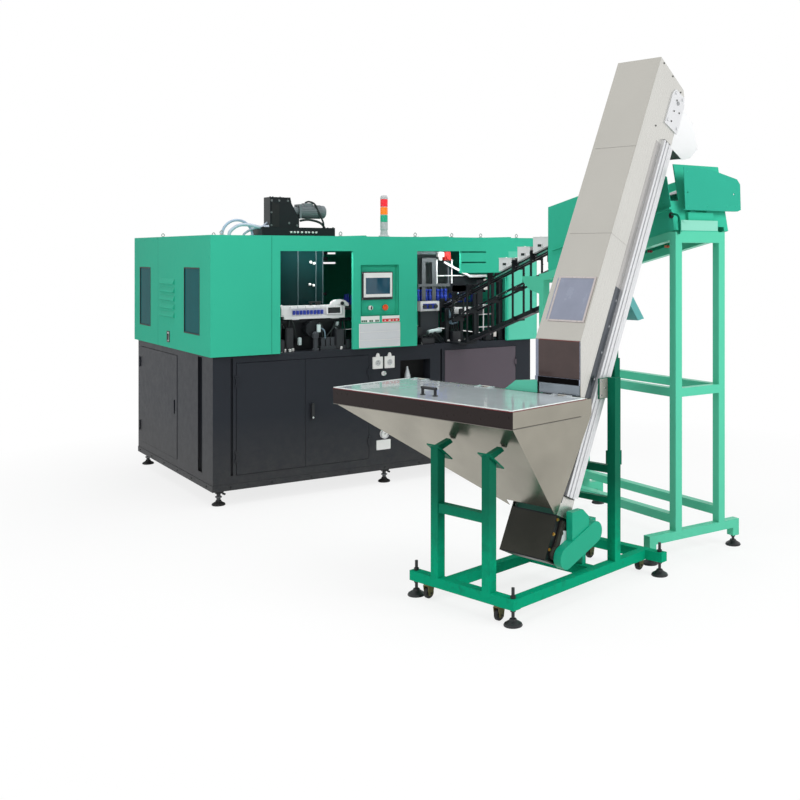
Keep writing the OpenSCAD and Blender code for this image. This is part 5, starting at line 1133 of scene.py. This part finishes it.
white = (1, 1, 1, 1)
floor_mesh = bpy.data.meshes.new("floor")
floor_mesh.from_pydata([(-40, -40, 0), (40, -40, 0), (40, 60, 0), (-40, 60, 0)], [], [(0, 1, 2, 3)])
floor = bpy.data.objects.new("floor", floor_mesh)
bpy.context.scene.collection.objects.link(floor)
floor_mat = bpy.data.materials.new("pale floor")
floor_mat.use_nodes = True
mix_shaders(floor_mat.node_tree, "ShaderNodeOutputMaterial", floor_rays,
            ("ShaderNodeBsdfDiffuse", {"Color": (0.95, 0.95, 0.95, 1)}),
            ("ShaderNodeEmission", {"Color": white}))
floor_mesh.materials.append(floor_mat)
world = bpy.data.worlds.new("studio")
bpy.context.scene.world = world
world.use_nodes = True
mix_shaders(world.node_tree, "ShaderNodeOutputWorld", background_rays,
            ("ShaderNodeBackground", {"Color": white, "Strength": 0.34}),
            ("ShaderNodeBackground", {"Color": white, "Strength": 1.0}))


def soft_light(name, spot, aim, size, watts):
    lamp = bpy.data.lights.new(name, "AREA")
    lamp.shape = "RECTANGLE"
    lamp.size, lamp.size_y = size
    lamp.energy = watts
    obj = bpy.data.objects.new(name, lamp)
    obj.location = spot
    obj.rotation_euler = (Vector(aim) - Vector(spot)).to_track_quat("-Z", "Y").to_euler()
    obj.visible_glossy = False
    bpy.context.scene.collection.objects.link(obj)
    return obj


soft_light("front softbox", (3.5, -8.5, 4.6), (0.9, -0.9, 1.0), (5.0, 3.5), 330)
soft_light("left softbox", (-7.0, -3.5, 3.6), (0.2, -0.4, 1.0), (4.5, 3.0), 190)
soft_light("top softbox", (1.0, -0.9, 7.5), (1.0, -0.9, 0.0), (7.0, 7.0), 300)
for x, watts in ((0.72, 3.0), (1.95, 3.2)):
    bay_lamp = soft_light("bay light", (x, -0.01, 1.8), (x, 0.3, 1.1), (0.5, 0.08), watts)
    bay_lamp.visible_camera = False

# lens, turn and place solved from the edges of cabinet, lift and stand; all in picture points of 800
frame_px, focal_px, centre_x, horizon_y = 800.0, 1033.2, 514.1, 253.1
camera = bpy.data.cameras.new("machine camera")
camera.sensor_width = 36.0
camera.lens = focal_px * camera.sensor_width / frame_px
camera.shift_x = (frame_px / 2 - centre_x) / frame_px
camera.shift_y = (horizon_y - frame_px / 2) / frame_px
camera.clip_end = 200
eye = bpy.data.objects.new("machine camera", camera)
eye.location = (-2.442, -7.054, 1.75)
eye.rotation_euler = (math.radians(90), 0, math.radians(-35.06))
bpy.context.scene.collection.objects.link(eye)
bpy.context.scene.camera = eye
bpy.context.scene.view_settings.view_transform = "Standard"
